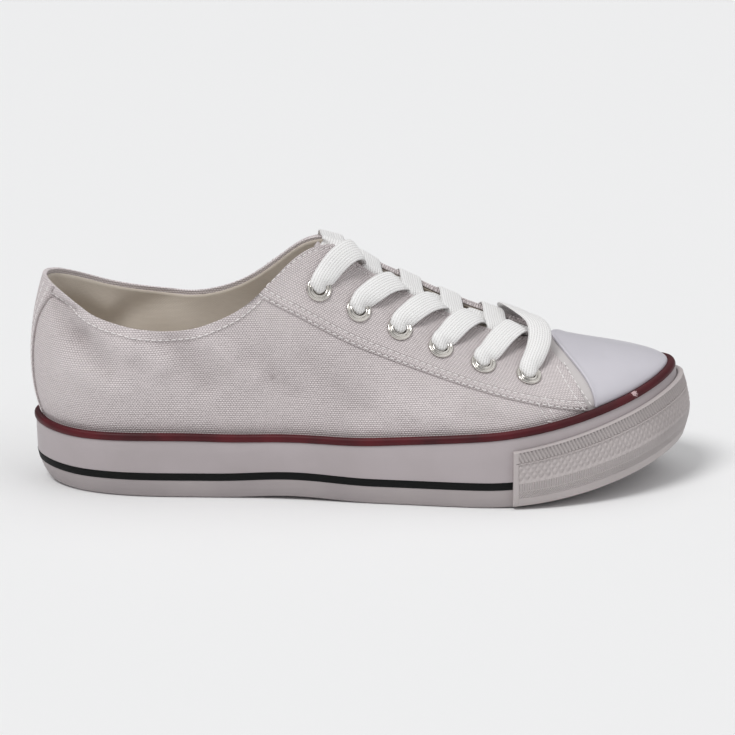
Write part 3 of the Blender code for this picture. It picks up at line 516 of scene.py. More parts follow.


# Woven cotton duck: staggered oval floats over one another, and uneven threads; a low noise shifts the
# cloth between two greys. Painted shade: each float's crown is lighter and the gaps between floats darker,
# and a shading value stored on the mesh darkens creases, grooves and seams and lightens crease ridges;
# one small rubbed spot is darker. wide, tall and bump are a float's sizes in mm.
def clothMaterial(name, light, dark, wide, tall, bump, roughness=0.95, slub=0.3, spot=None):
    made, put, shader = startMaterial(name, {
        "Roughness": roughness, "Sheen Weight": 0.15, "Sheen Roughness": 0.5, "IOR": 1.5})
    uv = put("ShaderNodeUVMap", uv_map="thread")
    split = put("ShaderNodeSeparateXYZ", uv).node.outputs
    v = put(calc, split[1], 1 / (tall * mm), operation="MULTIPLY")
    odd = put(calc, put(calc, v, operation="FLOOR"), 1.0, operation="PINGPONG")
    u = put(calc, split[0], 1 / (wide * mm), operation="MULTIPLY")
    u = put(calc, odd, 0.5, u, operation="MULTIPLY_ADD")
    ovals = []
    for each in (u, v):
        wave = put(calc, put(calc, each, math.pi, operation="MULTIPLY"), operation="SINE")
        ovals.append(put(calc, put(calc, wave, operation="ABSOLUTE"), 0.6, operation="POWER"))
    height = put(calc, *ovals, operation="MULTIPLY")
    place = put("ShaderNodeTexCoord", output="Object")
    patch = put(noise, place, named={"Scale": 24.0, "Detail": 3.0})
    stretched = put("ShaderNodeMapping", uv, named={"Scale": (260.0, 1400.0, 1.0)})
    slubs = put(noise, stretched, named={"Scale": 1.0})
    # painted shade: floats lighter on their crowns, darker in the gaps between them
    tone = put(calc, height, 0.50, operation="MULTIPLY")
    tone = put(calc, slubs, slub, tone, operation="MULTIPLY_ADD")
    tone = put(calc, patch, 0.34, tone, operation="MULTIPLY_ADD")
    # painted shade and light stored on the mesh, taken off the tone
    paintedShading = put("ShaderNodeAttribute", attribute_name="paintedShading", output="Fac")
    tone = put(calc, tone, paintedShading, operation="SUBTRACT")
    if spot is not None:
        away = put("ShaderNodeVectorMath", place, tuple(spot), operation="DISTANCE", output="Value")
        rubbed = put("ShaderNodeMapRange", away, 0.2 * mm, 1.9 * mm, 0.26, 0.0)
        tone = put(calc, tone, rubbed, operation="SUBTRACT")
    lift = put(calc, slubs, 0.4, height, operation="MULTIPLY_ADD")
    setSockets(shader, {
        "Base Color": put("ShaderNodeValToRGB", tone, stops=((0.22, dark), (0.80, light))),
        "Normal": put("ShaderNodeBump", named={"Strength": 1.0, "Distance": bump * mm, "Height": lift})})
    return made


# Vulcanised rubber: a satin moulded skin, slightly uneven, greyed in patches by handling.
def rubberMaterial(name, clean, worn, roughness, coat=0.0, grain=0.03, ior=1.48):
    made, put, shader = startMaterial(name, {"IOR": ior, "Coat Weight": coat, "Coat Roughness": 0.25})
    place = put("ShaderNodeTexCoord", output="Object")
    patch = put(noise, place, named={"Scale": 30.0, "Detail": 5.0})
    speck = put(noise, place, named={"Scale": 900.0, "Detail": 2.0})
    setSockets(shader, {
        "Base Color": put("ShaderNodeValToRGB", patch, stops=((0.30, worn), (0.62, clean))),
        "Roughness": put("ShaderNodeMapRange", patch, 0.3, 0.7, roughness + 0.08, roughness - 0.05),
        "Normal": put("ShaderNodeBump", named={"Strength": 0.5, "Distance": grain * mm, "Height": speck})})
    return made


# Flat braided cotton lace: lengthwise wales 1.05 mm wide, each with slanted stitches.
def laceMaterial():
    made, put, shader = startMaterial("braidedCottonLace", {
        "Roughness": 0.9, "Sheen Weight": 0.3, "IOR": 1.5})
    split = put("ShaderNodeSeparateXYZ", put("ShaderNodeUVMap", uv_map="thread")).node.outputs
    across = put(calc, split[1], 1 / (1.05 * mm), operation="MULTIPLY")
    run = put(calc, split[0], 1 / (1.1 * mm), operation="MULTIPLY")
    wave = put(calc, put(calc, across, math.pi, operation="MULTIPLY"), operation="SINE")
    wale = put(calc, put(calc, wave, operation="ABSOLUTE"), 0.5, operation="POWER")
    slanted = put(calc, run, put(calc, across, 1.0, operation="PINGPONG"), operation="ADD")
    stitch = put(calc, put(calc, slanted, 2 * math.pi, operation="MULTIPLY"), operation="SINE")
    height = put(calc, wale, put(calc, stitch, 0.25, 0.75, operation="MULTIPLY_ADD"), operation="MULTIPLY")
    # painted shade: lighter on the wales' and stitches' crowns, darker in the grooves between them
    setSockets(shader, {
        "Base Color": put("ShaderNodeValToRGB", height, stops=((0.1, "#dcdad8"), (0.7, "#fcfbfa"))),
        "Normal": put("ShaderNodeBump", named={"Strength": 1.0, "Distance": 0.22 * mm, "Height": height})})
    return made


# Plated steel: bright and smooth, with faint rubbing.
def steelMaterial():
    made, put, shader = startMaterial("platedSteel", {"Metallic": 1.0, "Base Color": hexColour("#d6d2cc")})
    place = put("ShaderNodeTexCoord", output="Object")
    rub = put(noise, place, named={"Scale": 160.0, "Detail": 2.0})
    setSockets(shader, {"Roughness": put("ShaderNodeMapRange", rub, 0.3, 0.7, 0.10, 0.24)})
    return made


# Maroon rubber piping: satin, darker in the mass, rubbed pale at one small chip near the toe.
def pipingMaterial():
    made, put, shader = startMaterial("maroonRubber", {"Roughness": 0.5, "IOR": 1.38})
    place = put("ShaderNodeTexCoord", output="Object")
    patch = put(noise, place, named={"Scale": 60.0, "Detail": 4.0})
    colour = put("ShaderNodeValToRGB", patch, stops=((0.35, "#3c0810"), (0.65, "#570d18")))
    chip = sidePoint(np.array(0.1825), 0.0004, -0.0004, fromTop=True) + toRow
    near = put("ShaderNodeVectorMath", place, tuple(chip), operation="DISTANCE", output="Value")
    ragged = put(noise, place, named={"Scale": 1500.0, "Detail": 2.0})
    edge = put(calc, ragged, 0.004, near, operation="MULTIPLY_ADD")
    mask = put(calc, edge, 0.0032, operation="LESS_THAN")
    setSockets(shader, {
        "Base Color": put("ShaderNodeMix", mask, named={6: colour, 7: hexColour("#c4a9ab")},
                          output=2, data_type="RGBA"),
        "Normal": put("ShaderNodeBump", named={"Strength": 0.4, "Distance": 0.06 * mm, "Height": patch})})
    return made


def onSide(x, z):
    # a point of the outer side's face, x and z in mm
    around, share = findOnWall(np.array(x * mm), np.array(z * mm), 0, 1 - turnOf(x * mm / last["length"]))
    return skin(around, share, 0.0)


canvas = clothMaterial("cottonDuckCanvas", "#ebe2e2", "#b2a8a8", 1.15, 0.82, 0.30,
                       spot=onSide(95.9, 49.5) + toRow)
vampCloth = clothMaterial("smoothVampCloth", "#cfcac9", "#c5c0bf", 0.45, 0.40, 0.01, slub=0.05)
lining = clothMaterial("cottonLining", "#e0d6c9", "#c9bdb0", 0.60, 0.50, 0.08)
footbedCloth = clothMaterial("footbedCloth", "#d5cdc0", "#b3a99b", 0.60, 0.55, 0.08)
thread = clothMaterial("polyesterThread", "#faf6f5", "#ded8d7", 0.40, 0.30, 0.04, roughness=0.7)
# the foxing's and outsole's white rubber are given darker colours than the rubber has, as painted shade on the
# lower, less lit part of the shoe; the outsole, lowest, is darkest
whiteRubber = rubberMaterial("whiteFoxingRubber", "#b6adaf", "#aca3a4", 0.42)
capRubber = rubberMaterial("whiteCapRubber", "#d0cdd4", "#cac7ce", 0.34, coat=0.15, grain=0.015)
bumperRubber = rubberMaterial("whiteBumperRubber", "#beb6b5", "#b2aaa9", 0.5)
groundRubber = rubberMaterial("outsoleRubber", "#aaa2a2", "#9f9798", 0.5)
stripeRubber = rubberMaterial("blackStripeRubber", "#060808", "#0a0c0b", 0.62, ior=1.3)
maroonRubber = pipingMaterial()
steel = steelMaterial()
laceCotton = laceMaterial()
print("materials made")


# Sheets of the upper: thicknesses, the hem turned over at the collar, and each sheet's rows inside the
# foxing: heights above the ground and drops below the first row.
upperParts = {
    "canvas": 1.0 * mm, "lining": 0.65 * mm, "between": 0.08 * mm, "rows": 62, "hem": 4.2 * mm,
    "hemProud": 0.25 * mm, "stay": 0.75 * mm, "stayBase": 0.12 * mm, "crowding": 0.92, "liningBelow": 0.014,
    "canvasHeights": (10.2 * mm, 15.0 * mm, 20.0 * mm), "canvasDrops": (16 * mm, 11 * mm, 6 * mm),
    "liningHeights": (10.8 * mm, 15.0 * mm, 20.0 * mm), "liningDrops": (15 * mm, 11 * mm, 6 * mm),
    "shutAt": 0.9999,
}


def wallShares(tops, rows, around):
    shares = np.linspace(0, 1, rows + 1)[:, None] ** upperParts["crowding"] * tops
    grid = np.repeat(around[None], rows + 1, 0)
    flat = wall(grid, shares)
    climb = walked(flat)
    uv = np.stack([np.repeat(walked(flat[rows // 2])[None], rows + 1, 0), climb], -1)
    return grid, shares, uv, climb[-1] - climb


def eyeletSeats():
    found = []
    for side in (-1, 1):
        for along, share in eyeletRows:
            around = float(1 + side * turnOf(along))
            level = float(share * topAt(around))
            centre, out = wall(around, level), wallNormal(around, level)
            climb = wall(around, level + 0.01) - centre
            climb = unit(climb - out * (climb @ out))
            forward = np.cross(climb, out)
            found.append({"side": side, "around": around, "level": level, "centre": centre,
                          "out": out, "climb": climb, "forward": forward * np.sign(forward[0])})
    return found


seats = eyeletSeats()
punch = {"radius": 2.95 * mm, "reach": 6 * mm, "sides": 16}


# side picks one side's eyelets: -1 the outer one's, 1 the inner one's, 0 all twelve
def punchEyelets(piece, side=0):
    sides = punch["sides"]
    points, faces = [], []
    for seat in seats:
        if side in (0, seat["side"]):
            faces += (len(points) + gridFaces(2, sides, wrap=True)).tolist()
            for height in (-punch["reach"], punch["reach"]):
                faces.append(list(range(len(points), len(points) + sides)))
                points += [seat["centre"] + (seat["forward"] * c + seat["climb"] * s) * punch["radius"]
                           + seat["out"] * height for c, s in spokes(sides)]
    tool = addMesh("punch", points, faces)
    weld(tool)
    modify(piece, "BOOLEAN", operation="DIFFERENCE", object=tool, solver="EXACT" if side else "MANIFOLD")
    bpy.data.objects.remove(tool)


# both faces of a sheet of the upper, each (offset of the face, depth inside the foxing), and its uv
def wallLayers(columns, grid, shares, uv, sides, key):
    base = sole["foxingThickness"] + last["gap"]
    layers = []
    for offset, depth in sides:
        skirt = [sidePoint(columns, height, base + depth) for height in upperParts[key + "Heights"]]
        layers.append(np.concatenate([np.stack(skirt), skin(grid, shares, offset + 0 * grid)]))
    skirtUv = np.stack([uv[0] - [0, drop] for drop in upperParts[key + "Drops"]])
    return (*layers, np.concatenate([skirtUv, uv]))


def makeUpper():
    grid, shares, uv, toEdge = wallShares(ringTops, upperParts["rows"], ring)
    shut = ringTops > upperParts["shutAt"]
    hem = upperParts["hemProud"] * smooth(toEdge, upperParts["hem"], upperParts["hem"] - 0.8 * mm) * ~shut
    sides = (hem, 0.0), (-upperParts["canvas"], upperParts["canvas"])
    outer, inner, uv = wallLayers(ring, grid, shares, uv, sides, "canvas")
    # painted shading on the canvas: shade in crease troughs and light on their ridges, a shade line along the hem,
    # and shade at the canvas's foot by the foxing
    flat = wall(grid, shares)
    trough = -creaseDepth(flat, np.mod(grid, 2) > 1) / mm
    trough *= smooth(flat[..., 0] / last["length"], *creaseFade)
    shade = np.clip(0.055 * trough, -0.10, 0.20) * smooth(shares, 0.0, 0.12)
    shade += 0.12 * np.exp(-(((toEdge - upperParts["hem"]) / (0.8 * mm)) ** 2)) * ~shut
    shade += 0.18 * smooth(shares, 0.035, 0.0)
    shade = np.concatenate([np.zeros((len(upperParts["canvasDrops"]), ringCount)), shade])
    made = sheetMesh("upperCanvas", outer, inner, uv, wrap=True, shut=shut, paintedShading=shade)
    bevel(made, 0.3 * mm)
    punchEyelets(made)
    dress(made, [canvas, vampCloth], "canvas", "upper")
    frontX = spline(staySeam["frontHeight"], staySeam["frontAlong"])
    for face in made.data.polygons:
        x, z = face.center[0] - toRow[0], face.center[2]
        if x > (float(frontX(z / last["instepHeight"])) - staySeam["vampLap"]) * last["length"]:
            face.material_index = 1


def makeLining():
    columns = ringStations(300)
    tops = topAt(columns)
    shut = tops > upperParts["shutAt"]
    tops = np.where(shut, tops, tops - upperParts["liningBelow"])
    grid, shares, uv, _ = wallShares(tops, 30, columns)
    depth = upperParts["canvas"] + upperParts["between"]
    sides = [(-each, each) for each in (depth, depth + upperParts["lining"])]
    outer, inner, uv = wallLayers(columns, grid, shares, uv, sides, "lining")
    made = sheetMesh("lining", outer, inner, uv, wrap=True, shut=shut)
    punchEyelets(made)
    dress(made, [lining], "lining")


# Facings: the lower seam and the front edge in side view, shares of length and instepHeight.
staySeam = {
    "along": (0.325, 0.356, 0.408, 0.481, 0.558, 0.631, 0.705, 0.779, 0.838),
    "height": (0.930, 0.863, 0.788, 0.680, 0.595, 0.526, 0.466, 0.420, 0.392),
    "frontAlong": (0.838, 0.816, 0.793, 0.784, 0.776), "frontHeight": (0.392, 0.506, 0.570, 0.600, 0.665),
    "columns": 200, "rows": 80, "topFront": 0.7765, "vampLap": 0.012,
    "frontRows": ((210.2, 51.2, 219.8, 38.6), (207.2, 50.6, 217.0, 37.2), (199.1, 40.4, 204.2, 32.5),
                  (201.8, 42.4, 206.1, 34.4)),
    "stitchRows": (0.75 * mm, 3.55 * mm), "throatRow": 2.4 * mm, "stitchSink": 0.36 * mm, "edge": 0.45 * mm,
}


def stayGrid(side):
    knots = np.linspace(0, 1, len(staySeam["along"]))
    c = np.linspace(0, 1, staySeam["columns"])
    x = spline(knots, staySeam["along"])(c) * last["length"]
    z = spline(knots, staySeam["height"])(c) * last["instepHeight"]
    lowAround, lowShare = findOnWall(x, z, 0, 1 + side * turnOf(x / last["length"]))
    upperAlong = np.linspace(staySeam["along"][0], staySeam["topFront"], len(c))
    topAround = 1 + side * turnOf(upperAlong)
    topLevel = topAt(topAround)
    fKnots = np.linspace(0, 1, len(staySeam["frontAlong"]))
    r = np.linspace(0, 1, staySeam["rows"] + 1) ** 1.6
    fx = spline(fKnots, staySeam["frontAlong"])(r) * last["length"]
    fz = spline(fKnots, staySeam["frontHeight"])(r) * last["instepHeight"]
    frontAround, frontShare = findOnWall(fx, fz, 0, 1 + side * turnOf(fx / last["length"]))
    frontShare[-1] = 1.0
    around = lowAround[None] * (1 - r[:, None]) + topAround[None] * r[:, None]
    share = lowShare[None] * (1 - r[:, None]) + topLevel[None] * r[:, None]
    pull = (c**6)[None]
    around = around + pull * (frontAround - around[:, -1])[:, None]
    share = np.minimum(share + pull * (frontShare - share[:, -1])[:, None], 1.0)
    share = np.minimum(share, topAt(around))
    return around, share


def makeStay(name, side, node):
    around, share = stayGrid(side)
    flat = wall(around, share)
    climb = walked(flat)
    toEdge = climb[-1] - climb
    groove = np.exp(-(((toEdge - staySeam["throatRow"]) / (0.5 * mm)) ** 2))
    for distance in staySeam["stitchRows"]:
        groove = groove + np.exp(-(((climb - distance) / (0.42 * mm)) ** 2))
    base, edge = upperParts["stayBase"], staySeam["edge"]
    full = edge + (upperParts["stay"] - edge) * smooth(climb, 0.9 * mm, 1.6 * mm)
    outer = skin(around, share, base + full - groove * staySeam["stitchSink"])
    inner = skin(around, share, base + 0 * around)
    uv = np.stack([np.repeat(walked(flat[len(flat) // 2])[None], len(flat), 0), climb], -1)
    # painted shade in the stitch grooves
    made = sheetMesh(name, outer, inner, uv, paintedShading=0.21 * np.minimum(groove, 1.0))
    bevel(made, 0.20 * mm)
    punchEyelets(made, side)
    dress(made, [canvas], "canvas", node)
    return around, share, climb, toEdge


# the stitch lines of one facing, sewn a set distance from its lower seam, its throat edge and its front
def stayStitches(side, around, share, climb, toEdge):
    top = upperParts["stayBase"] + upperParts["stay"] - 0.20 * mm
    tall = np.nonzero(climb[-1] > 7 * mm)[0]
    inner = tall[(tall > 5) & (tall < around.shape[1] - 4)]
    rows = [(distance, climb, tall) for distance in staySeam["stitchRows"]]
    rows.append((-staySeam["throatRow"], -toEdge, inner))
    for distance, height, picked in rows:
        a, s = [np.array([np.interp(distance, height[:, k], each[:, k]) for k in picked])
                for each in (around, share)]
        stitchLines.append(skin(a, s, top))
    for x1, z1, x2, z2 in staySeam["frontRows"]:
        x, z = np.linspace(x1, x2, 12) * mm, np.linspace(z1, z2, 12) * mm
        a, s = findOnWall(x, z, 0, 1 + side * turnOf(x / last["length"]))
        seamHeight = spline(staySeam["along"], staySeam["height"])(x / last["length"]) * last["instepHeight"]
        stitchLines.append(skin(a, s, np.where(z > seamHeight, top + 0.30 * mm, 0.12 * mm)))


makeUpper()
makeLining()
stitchLines = []
facings = (("facingOuter", -1, "eyestay_lateral"), ("facingInner", 1, "eyestay_medial"))
for facing, facingSide, facingNode in facings:
    stayStitches(facingSide, *makeStay(facing, facingSide, facingNode))


# Toe cap: a smooth rubber shell with a raised lip along its rear edge.
toeCap = {
    "rear": 0.788, "sweep": 0.066, "half": 0.42, "power": 1.3, "base": 0.15 * mm, "thickness": 0.75 * mm,
    "lip": 0.22 * mm, "lipWidth": 0.7 * mm, "columns": 260, "rows": 44,
}


def capRear(point):
    half = toeCap["half"] * last["ballWidth"]
    step = np.minimum(np.abs(point[..., 1] - centreLine(toeCap["rear"])) / half, 1.3)
    return last["length"] * (toeCap["rear"] + toeCap["sweep"] * step ** toeCap["power"])


def makeToeCap():
    startTurn = float(turnOf(toeCap["rear"] + 0.0006))
    c = np.linspace(-1, 1, toeCap["columns"])
    columns = np.sign(c) * (1 - startTurn) * (1 - (1 - np.abs(c)) ** 1.15)
    steps = np.linspace(0, 1, 241)
    around = np.repeat(columns[:, None], len(steps), 1)
    point = wall(around, np.repeat(steps[None], len(columns), 0))
    ahead = point[..., 0] - capRear(point)
    low = np.full(len(columns), 0.012)
    for i in range(len(columns)):
        behind = np.nonzero(ahead[i] < 0)[0]
        if len(behind):
            k = min(behind[-1], len(steps) - 2)
            t = -ahead[i, k] / max(ahead[i, k + 1] - ahead[i, k], 1e-9)
            low[i] = max(low[i], min(steps[k] + (steps[k + 1] - steps[k]) * min(t, 1.0), 0.9995))
    r = np.linspace(0, 1, toeCap["rows"] + 1)[:, None]
    shares = low + (1 - low) * (r**1.2)
    grid = np.repeat(columns[None], len(r), 0)
    flat = wall(grid, shares)
    rearAway = np.maximum(flat[..., 0] - capRear(flat), 0)
    lip = toeCap["lip"] * np.exp(-(((rearAway - 0.7 * mm) / toeCap["lipWidth"]) ** 2))
    normal = skinNormal(grid, shares)
    outer = flat + normal * (toeCap["base"] + toeCap["thickness"] + lip)[..., None]
    made = sheetMesh("toeCapShell", outer, flat + normal * toeCap["base"], flat[..., :2],
                    shut=np.ones(len(columns), bool))
    bevel(made, 0.35 * mm, 3, 55)
    dress(made, [capRubber], "toe_cap", "toe_cap")


makeToeCap()


# Heel strip: rows of height over half widths, shares of heelHeight and heelWidth.
heelStrip = {
    "height": (0.295, 0.45, 0.65, 0.80, 0.92, 0.998), "half": (0.111, 0.112, 0.128, 0.165, 0.222, 0.258),
    "rows": 60, "columns": 31, "base": 0.08 * mm, "thickness": 0.50 * mm, "stitchColumns": (3, 7, -8, -4),
}


def makeHeelStrip():
    across = np.linspace(-1, 1, heelStrip["columns"])
    halfAt = spline(heelStrip["height"], heelStrip["half"])
    r = np.linspace(0, 1, heelStrip["rows"])[:, None]
    top = np.full(len(across), last["heelHeight"] * 0.97)
    for _ in range(5):
        z = heelStrip["height"][0] * last["heelHeight"] * (1 - r) + top * r
        y = halfAt(z / last["heelHeight"]) * last["heelWidth"] * across[None]
        around, share = findOnWall(y, z, 1, 1 + y * 6)
        tops = topAt(around[-1])
        top = wall(around[-1], tops)[:, 2]
    share[-1] = tops
    share = np.minimum(share, tops)
    base = heelStrip["base"] + 0 * share
    outer = skin(around, share, base + heelStrip["thickness"])
    # painted shadow along both side edges of the strip
    dark = 0.5 * np.exp(-(((1 - np.abs(across)) / 0.07) ** 2))[None] + 0 * share
    made = sheetMesh("heelStripCanvas", outer, skin(around, share, base), np.stack([y, z], -1), paintedShading=dark)
    bevel(made, 0.3 * mm)
    for column in heelStrip["stitchColumns"]:
        face = heelStrip["base"] + heelStrip["thickness"] + 0.02 * mm
        stitchLines.append(skin(around[:-2, column], share[:-2, column], face))
    dress(made, [canvas], "canvas", "heel_strip")


makeHeelStrip()


# Rings round the sole. A profile's corner is (height, inset, whether the height is from the top).
def ringBody(name, profile, material, slotName, node, bevelWidth, segments=3):
    count = 640
    around = np.arange(count) * 2 / count
    loops = [sidePoint(around, *corner) for corner in profile]
    faces = gridFaces(len(loops) + 1, count, wrap=True) % (len(loops) * count)
    made = addMesh(name, loops, faces)
    weld(made)
    bevel(made, bevelWidth, segments, 30)
    dress(made, [material], slotName, node)


thick = sole["foxingThickness"]
pipe = sole["pipingHeight"]
stripeLow = sole["outsoleEdge"] + 0.8 * mm
stripeHigh = stripeLow + sole["stripeHeight"]
stripeCorners = (
    (stripeLow - 0.1 * mm, -0.12 * mm, False), (stripeHigh + 0.1 * mm, -0.12 * mm, False),
    (stripeHigh + 0.1 * mm, thick, False), (stripeLow - 0.1 * mm, thick, False),
)
foxingCorners = (
    (stripeHigh + 0.12 * mm, 0.0, False), (0.0185, 0.0, False), (0.0188, -0.06 * mm, False),
    (pipe, -0.06 * mm, True), (pipe, thick, True), (stripeHigh + 0.12 * mm, thick, False),
)
pipingCorners = (
    (pipe + 0.15 * mm, -0.15 * mm, True), (pipe - 0.05 * mm, -0.50 * mm, True),
    (2.05 * mm, -0.70 * mm, True), (1.35 * mm, -0.80 * mm, True), (0.65 * mm, -0.76 * mm, True),
    (0.05 * mm, -0.52 * mm, True), (-0.32 * mm, 0.0 * mm, True), (-0.42 * mm, 0.9 * mm, True),
    (-0.1 * mm, 1.9 * mm, True), (0.1 * mm, thick + 0.2 * mm, True),
    (pipe + 0.35 * mm, thick - 0.4 * mm, True),
)
ringBody("stripeBand", stripeCorners, stripeRubber, "dark_rubber", "stripe_dark", 0.1 * mm)
ringBody("foxingBand", foxingCorners, whiteRubber, "rubber", "foxing", 0.2 * mm)
ringBody("pipingBand", pipingCorners, maroonRubber, "maroon_rubber", "piping_red", 0.15 * mm, 2)


# Outsole: side and rim in one body, its recessed field set with hexagonal lugs. lugRings are a lug's
# (share of its radius, height), from its root to the dimple in its tread face.
tread = {
    "rim": 5.2 * mm, "recess": 1.1 * mm, "pitch": 6.4 * mm, "lug": 2.75 * mm, "edge": 8.4 * mm, "sides": 480,
    "lugRings": ((1.12, 1.4 * mm), (1.0, 0.25 * mm), (0.9, 0.02 * mm), (0.0, 0.35 * mm)),
}


# a body of rings (height, inset) round the sole, closed across at its first and last ring
def cappedRings(name, profile, count, mapped=False):
    around = np.arange(count) * 2 / count
    points = np.concatenate([sidePoint(around, height, inset) for height, inset in profile])
    faces = gridFaces(len(profile), count, wrap=True).tolist()
    for base in (0, len(points) - count):
        for i in range(count // 2):
            corners = dict.fromkeys([i, i + 1, (count - i - 1) % count, (count - i) % count])
            faces.append([base + corner for corner in corners])
    made = addMesh(name, points, faces, points[:, :2] if mapped else None)
    weld(made)
    return made


def makeOutsole():
    plateauInset = thick + last["gap"]
    made = cappedRings("outsoleSheet", (
        (tread["recess"], tread["rim"] + 0.5 * mm), (0.0, tread["rim"]), (0.0, 1.2 * mm),
        (0.35 * mm, 0.35 * mm), (1.2 * mm, 0.0), (4.0 * mm, 0.0), (stripeLow - 0.12 * mm, 0.0),
        (stripeLow - 0.12 * mm, plateauInset), (sole["plateau"], plateauInset),
    ), tread["sides"])
    bevel(made, 0.2 * mm, 2, 50)
    dress(made, [groundRubber], "rubber", "outsole")


# Instances one template on every point of a mesh, its axis turned to the direction each point stores.
def instanceOn(name, points, facing, template, material, axis):
    mesh = bpy.data.meshes.new(name)
    mesh.from_pydata((np.asarray(points) + toRow).tolist(), [], [])
    layer = mesh.attributes.new("facing", "FLOAT_VECTOR", "POINT")
    layer.data.foreach_set("vector", np.asarray(facing, np.float32).ravel())
    made = newObject(name, mesh)
    tree = bpy.data.node_groups.new(name + "Tree", "GeometryNodeTree")
    tree.interface.new_socket("Geometry", in_out="INPUT", socket_type="NodeSocketGeometry")
    sizeSocket = tree.interface.new_socket("Template size", in_out="INPUT", socket_type="NodeSocketFloat")
    tree.interface.new_socket("Geometry", in_out="OUTPUT", socket_type="NodeSocketGeometry")
    put = partial(addNode, tree)
    start = put("NodeGroupInput")
    source = put("GeometryNodeObjectInfo", named={"Object": template}, output="Geometry")
    stored = put("GeometryNodeInputNamedAttribute", named={"Name": "facing"}, data_type="FLOAT_VECTOR")
    turned = put("FunctionNodeAlignRotationToVector", named={"Vector": stored}, axis=axis)
    placed = put("GeometryNodeInstanceOnPoints", named={
        "Points": start, "Instance": source, "Rotation": turned,
        "Scale": start.node.outputs["Template size"]})
    real = put("GeometryNodeRealizeInstances", placed)
    finish = put("GeometryNodeSetMaterial", named={"Geometry": real, "Material": material})
    tree.links.new(finish, tree.nodes.new("NodeGroupOutput").inputs[0])
    modifier = made.modifiers.new("set", "NODES")
    modifier.node_group = tree
    modifier[sizeSocket.identifier] = 1.0
    applyAll(made)
    bpy.data.objects.remove(template)
    return made


# A template turned about Z, a ring of corners for each (radius, height): capped at both ends, or closed
# from the last ring to the first. lying turns its axis to X.
def turnedTemplate(name, profile, sides, start=0.0, closed=False, lying=False):
    points = np.array([(radius * c, radius * s, height)
                       for radius, height in profile for c, s in spokes(sides, start)])
    points = points[:, (2, 0, 1)] if lying else points
    faces = (gridFaces(len(profile) + closed, sides, wrap=True) % len(points)).tolist()
    if not closed:
        faces += [list(range(sides)), list(range(len(points) - sides, len(points)))]
    made = addMesh(name, points, faces, points[:, :2], move=0)
    weld(made, 1e-8)
    return made


def makeLugs():
    points = []
    rowStep = tread["pitch"] * math.sqrt(3) / 2
    for row, x in enumerate(np.arange(0.004, last["length"], rowStep)):
        turn = float(turnOf(x / last["length"]))
        low, high = float(outerEdge(turn)) + tread["edge"], float(innerEdge(turn)) - tread["edge"]
        near = min(x, last["length"] - x)
        for y in np.arange(-0.06, 0.06, tread["pitch"]) + tread["pitch"] / 2 * (row % 2):
            if low < y < high and near > tread["edge"]:
                points.append((x, y, float(groundLift(x))))
    points = np.array(points)
    slope = (groundLift(points[:, 0] + mm) - groundLift(points[:, 0] - mm)) / (2 * mm)
    facing = np.stack([-slope, 0 * slope, 1 + 0 * slope], -1)
    rings = [(share * tread["lug"], height) for share, height in tread["lugRings"]]
    template = turnedTemplate("lug", rings, 6, math.pi / 6)
    made = instanceOn("outsoleLugs", points, facing, template, groundRubber, "Z")
    made.data.shade_flat()
    dress(made, [groundRubber], "rubber")


makeOutsole()
makeLugs()


# Toe bumper: bands from its top edge down, in mm: lip, ribs, a step, pyramids, two fine bands, plain.
# The rows are where its relief is cut across, in mm of the full height.
bumper = {
    "start": 0.7245, "drop": 7.5 * mm, "tipDrop": 5.8 * mm, "foot": 0.8 * mm, "face": 2.4 * mm,
    "columns": 1000, "fullHeight": 22.3, "walkHeight": 13.2 * mm, "back": -0.15 * mm, "margin": 2.0,
    "lipEnd": 0.55, "ribEnd": 4.8, "groove": (4.6, 4.75, 4.95, 5.1), "stepEnd": 5.1, "pyramidEnd": 12.3,
    "upright": (12.9, 15.9, 0.95), "slanted": (16.3, 18.9, 1.05), "linesFrom": 2.2,
    "ribPitch": 1.45, "ribLean": 0.50, "ribDepth": 0.68,
    "pyramidWide": 2.7, "pyramidTall": 3.4, "pyramidDepth": 0.62,
    "rows": (0.0, 0.1, 0.25, 0.45, 0.6, 0.75, 1.0, 2.0, 3.0, 4.1, 4.6, 4.75, 4.9, 5.1, 5.3,
             *np.arange(5.55, 12.3, 0.27), 12.5, 13.5, 15.0, 16.2, 17.6, 19.0, 20.0),
}


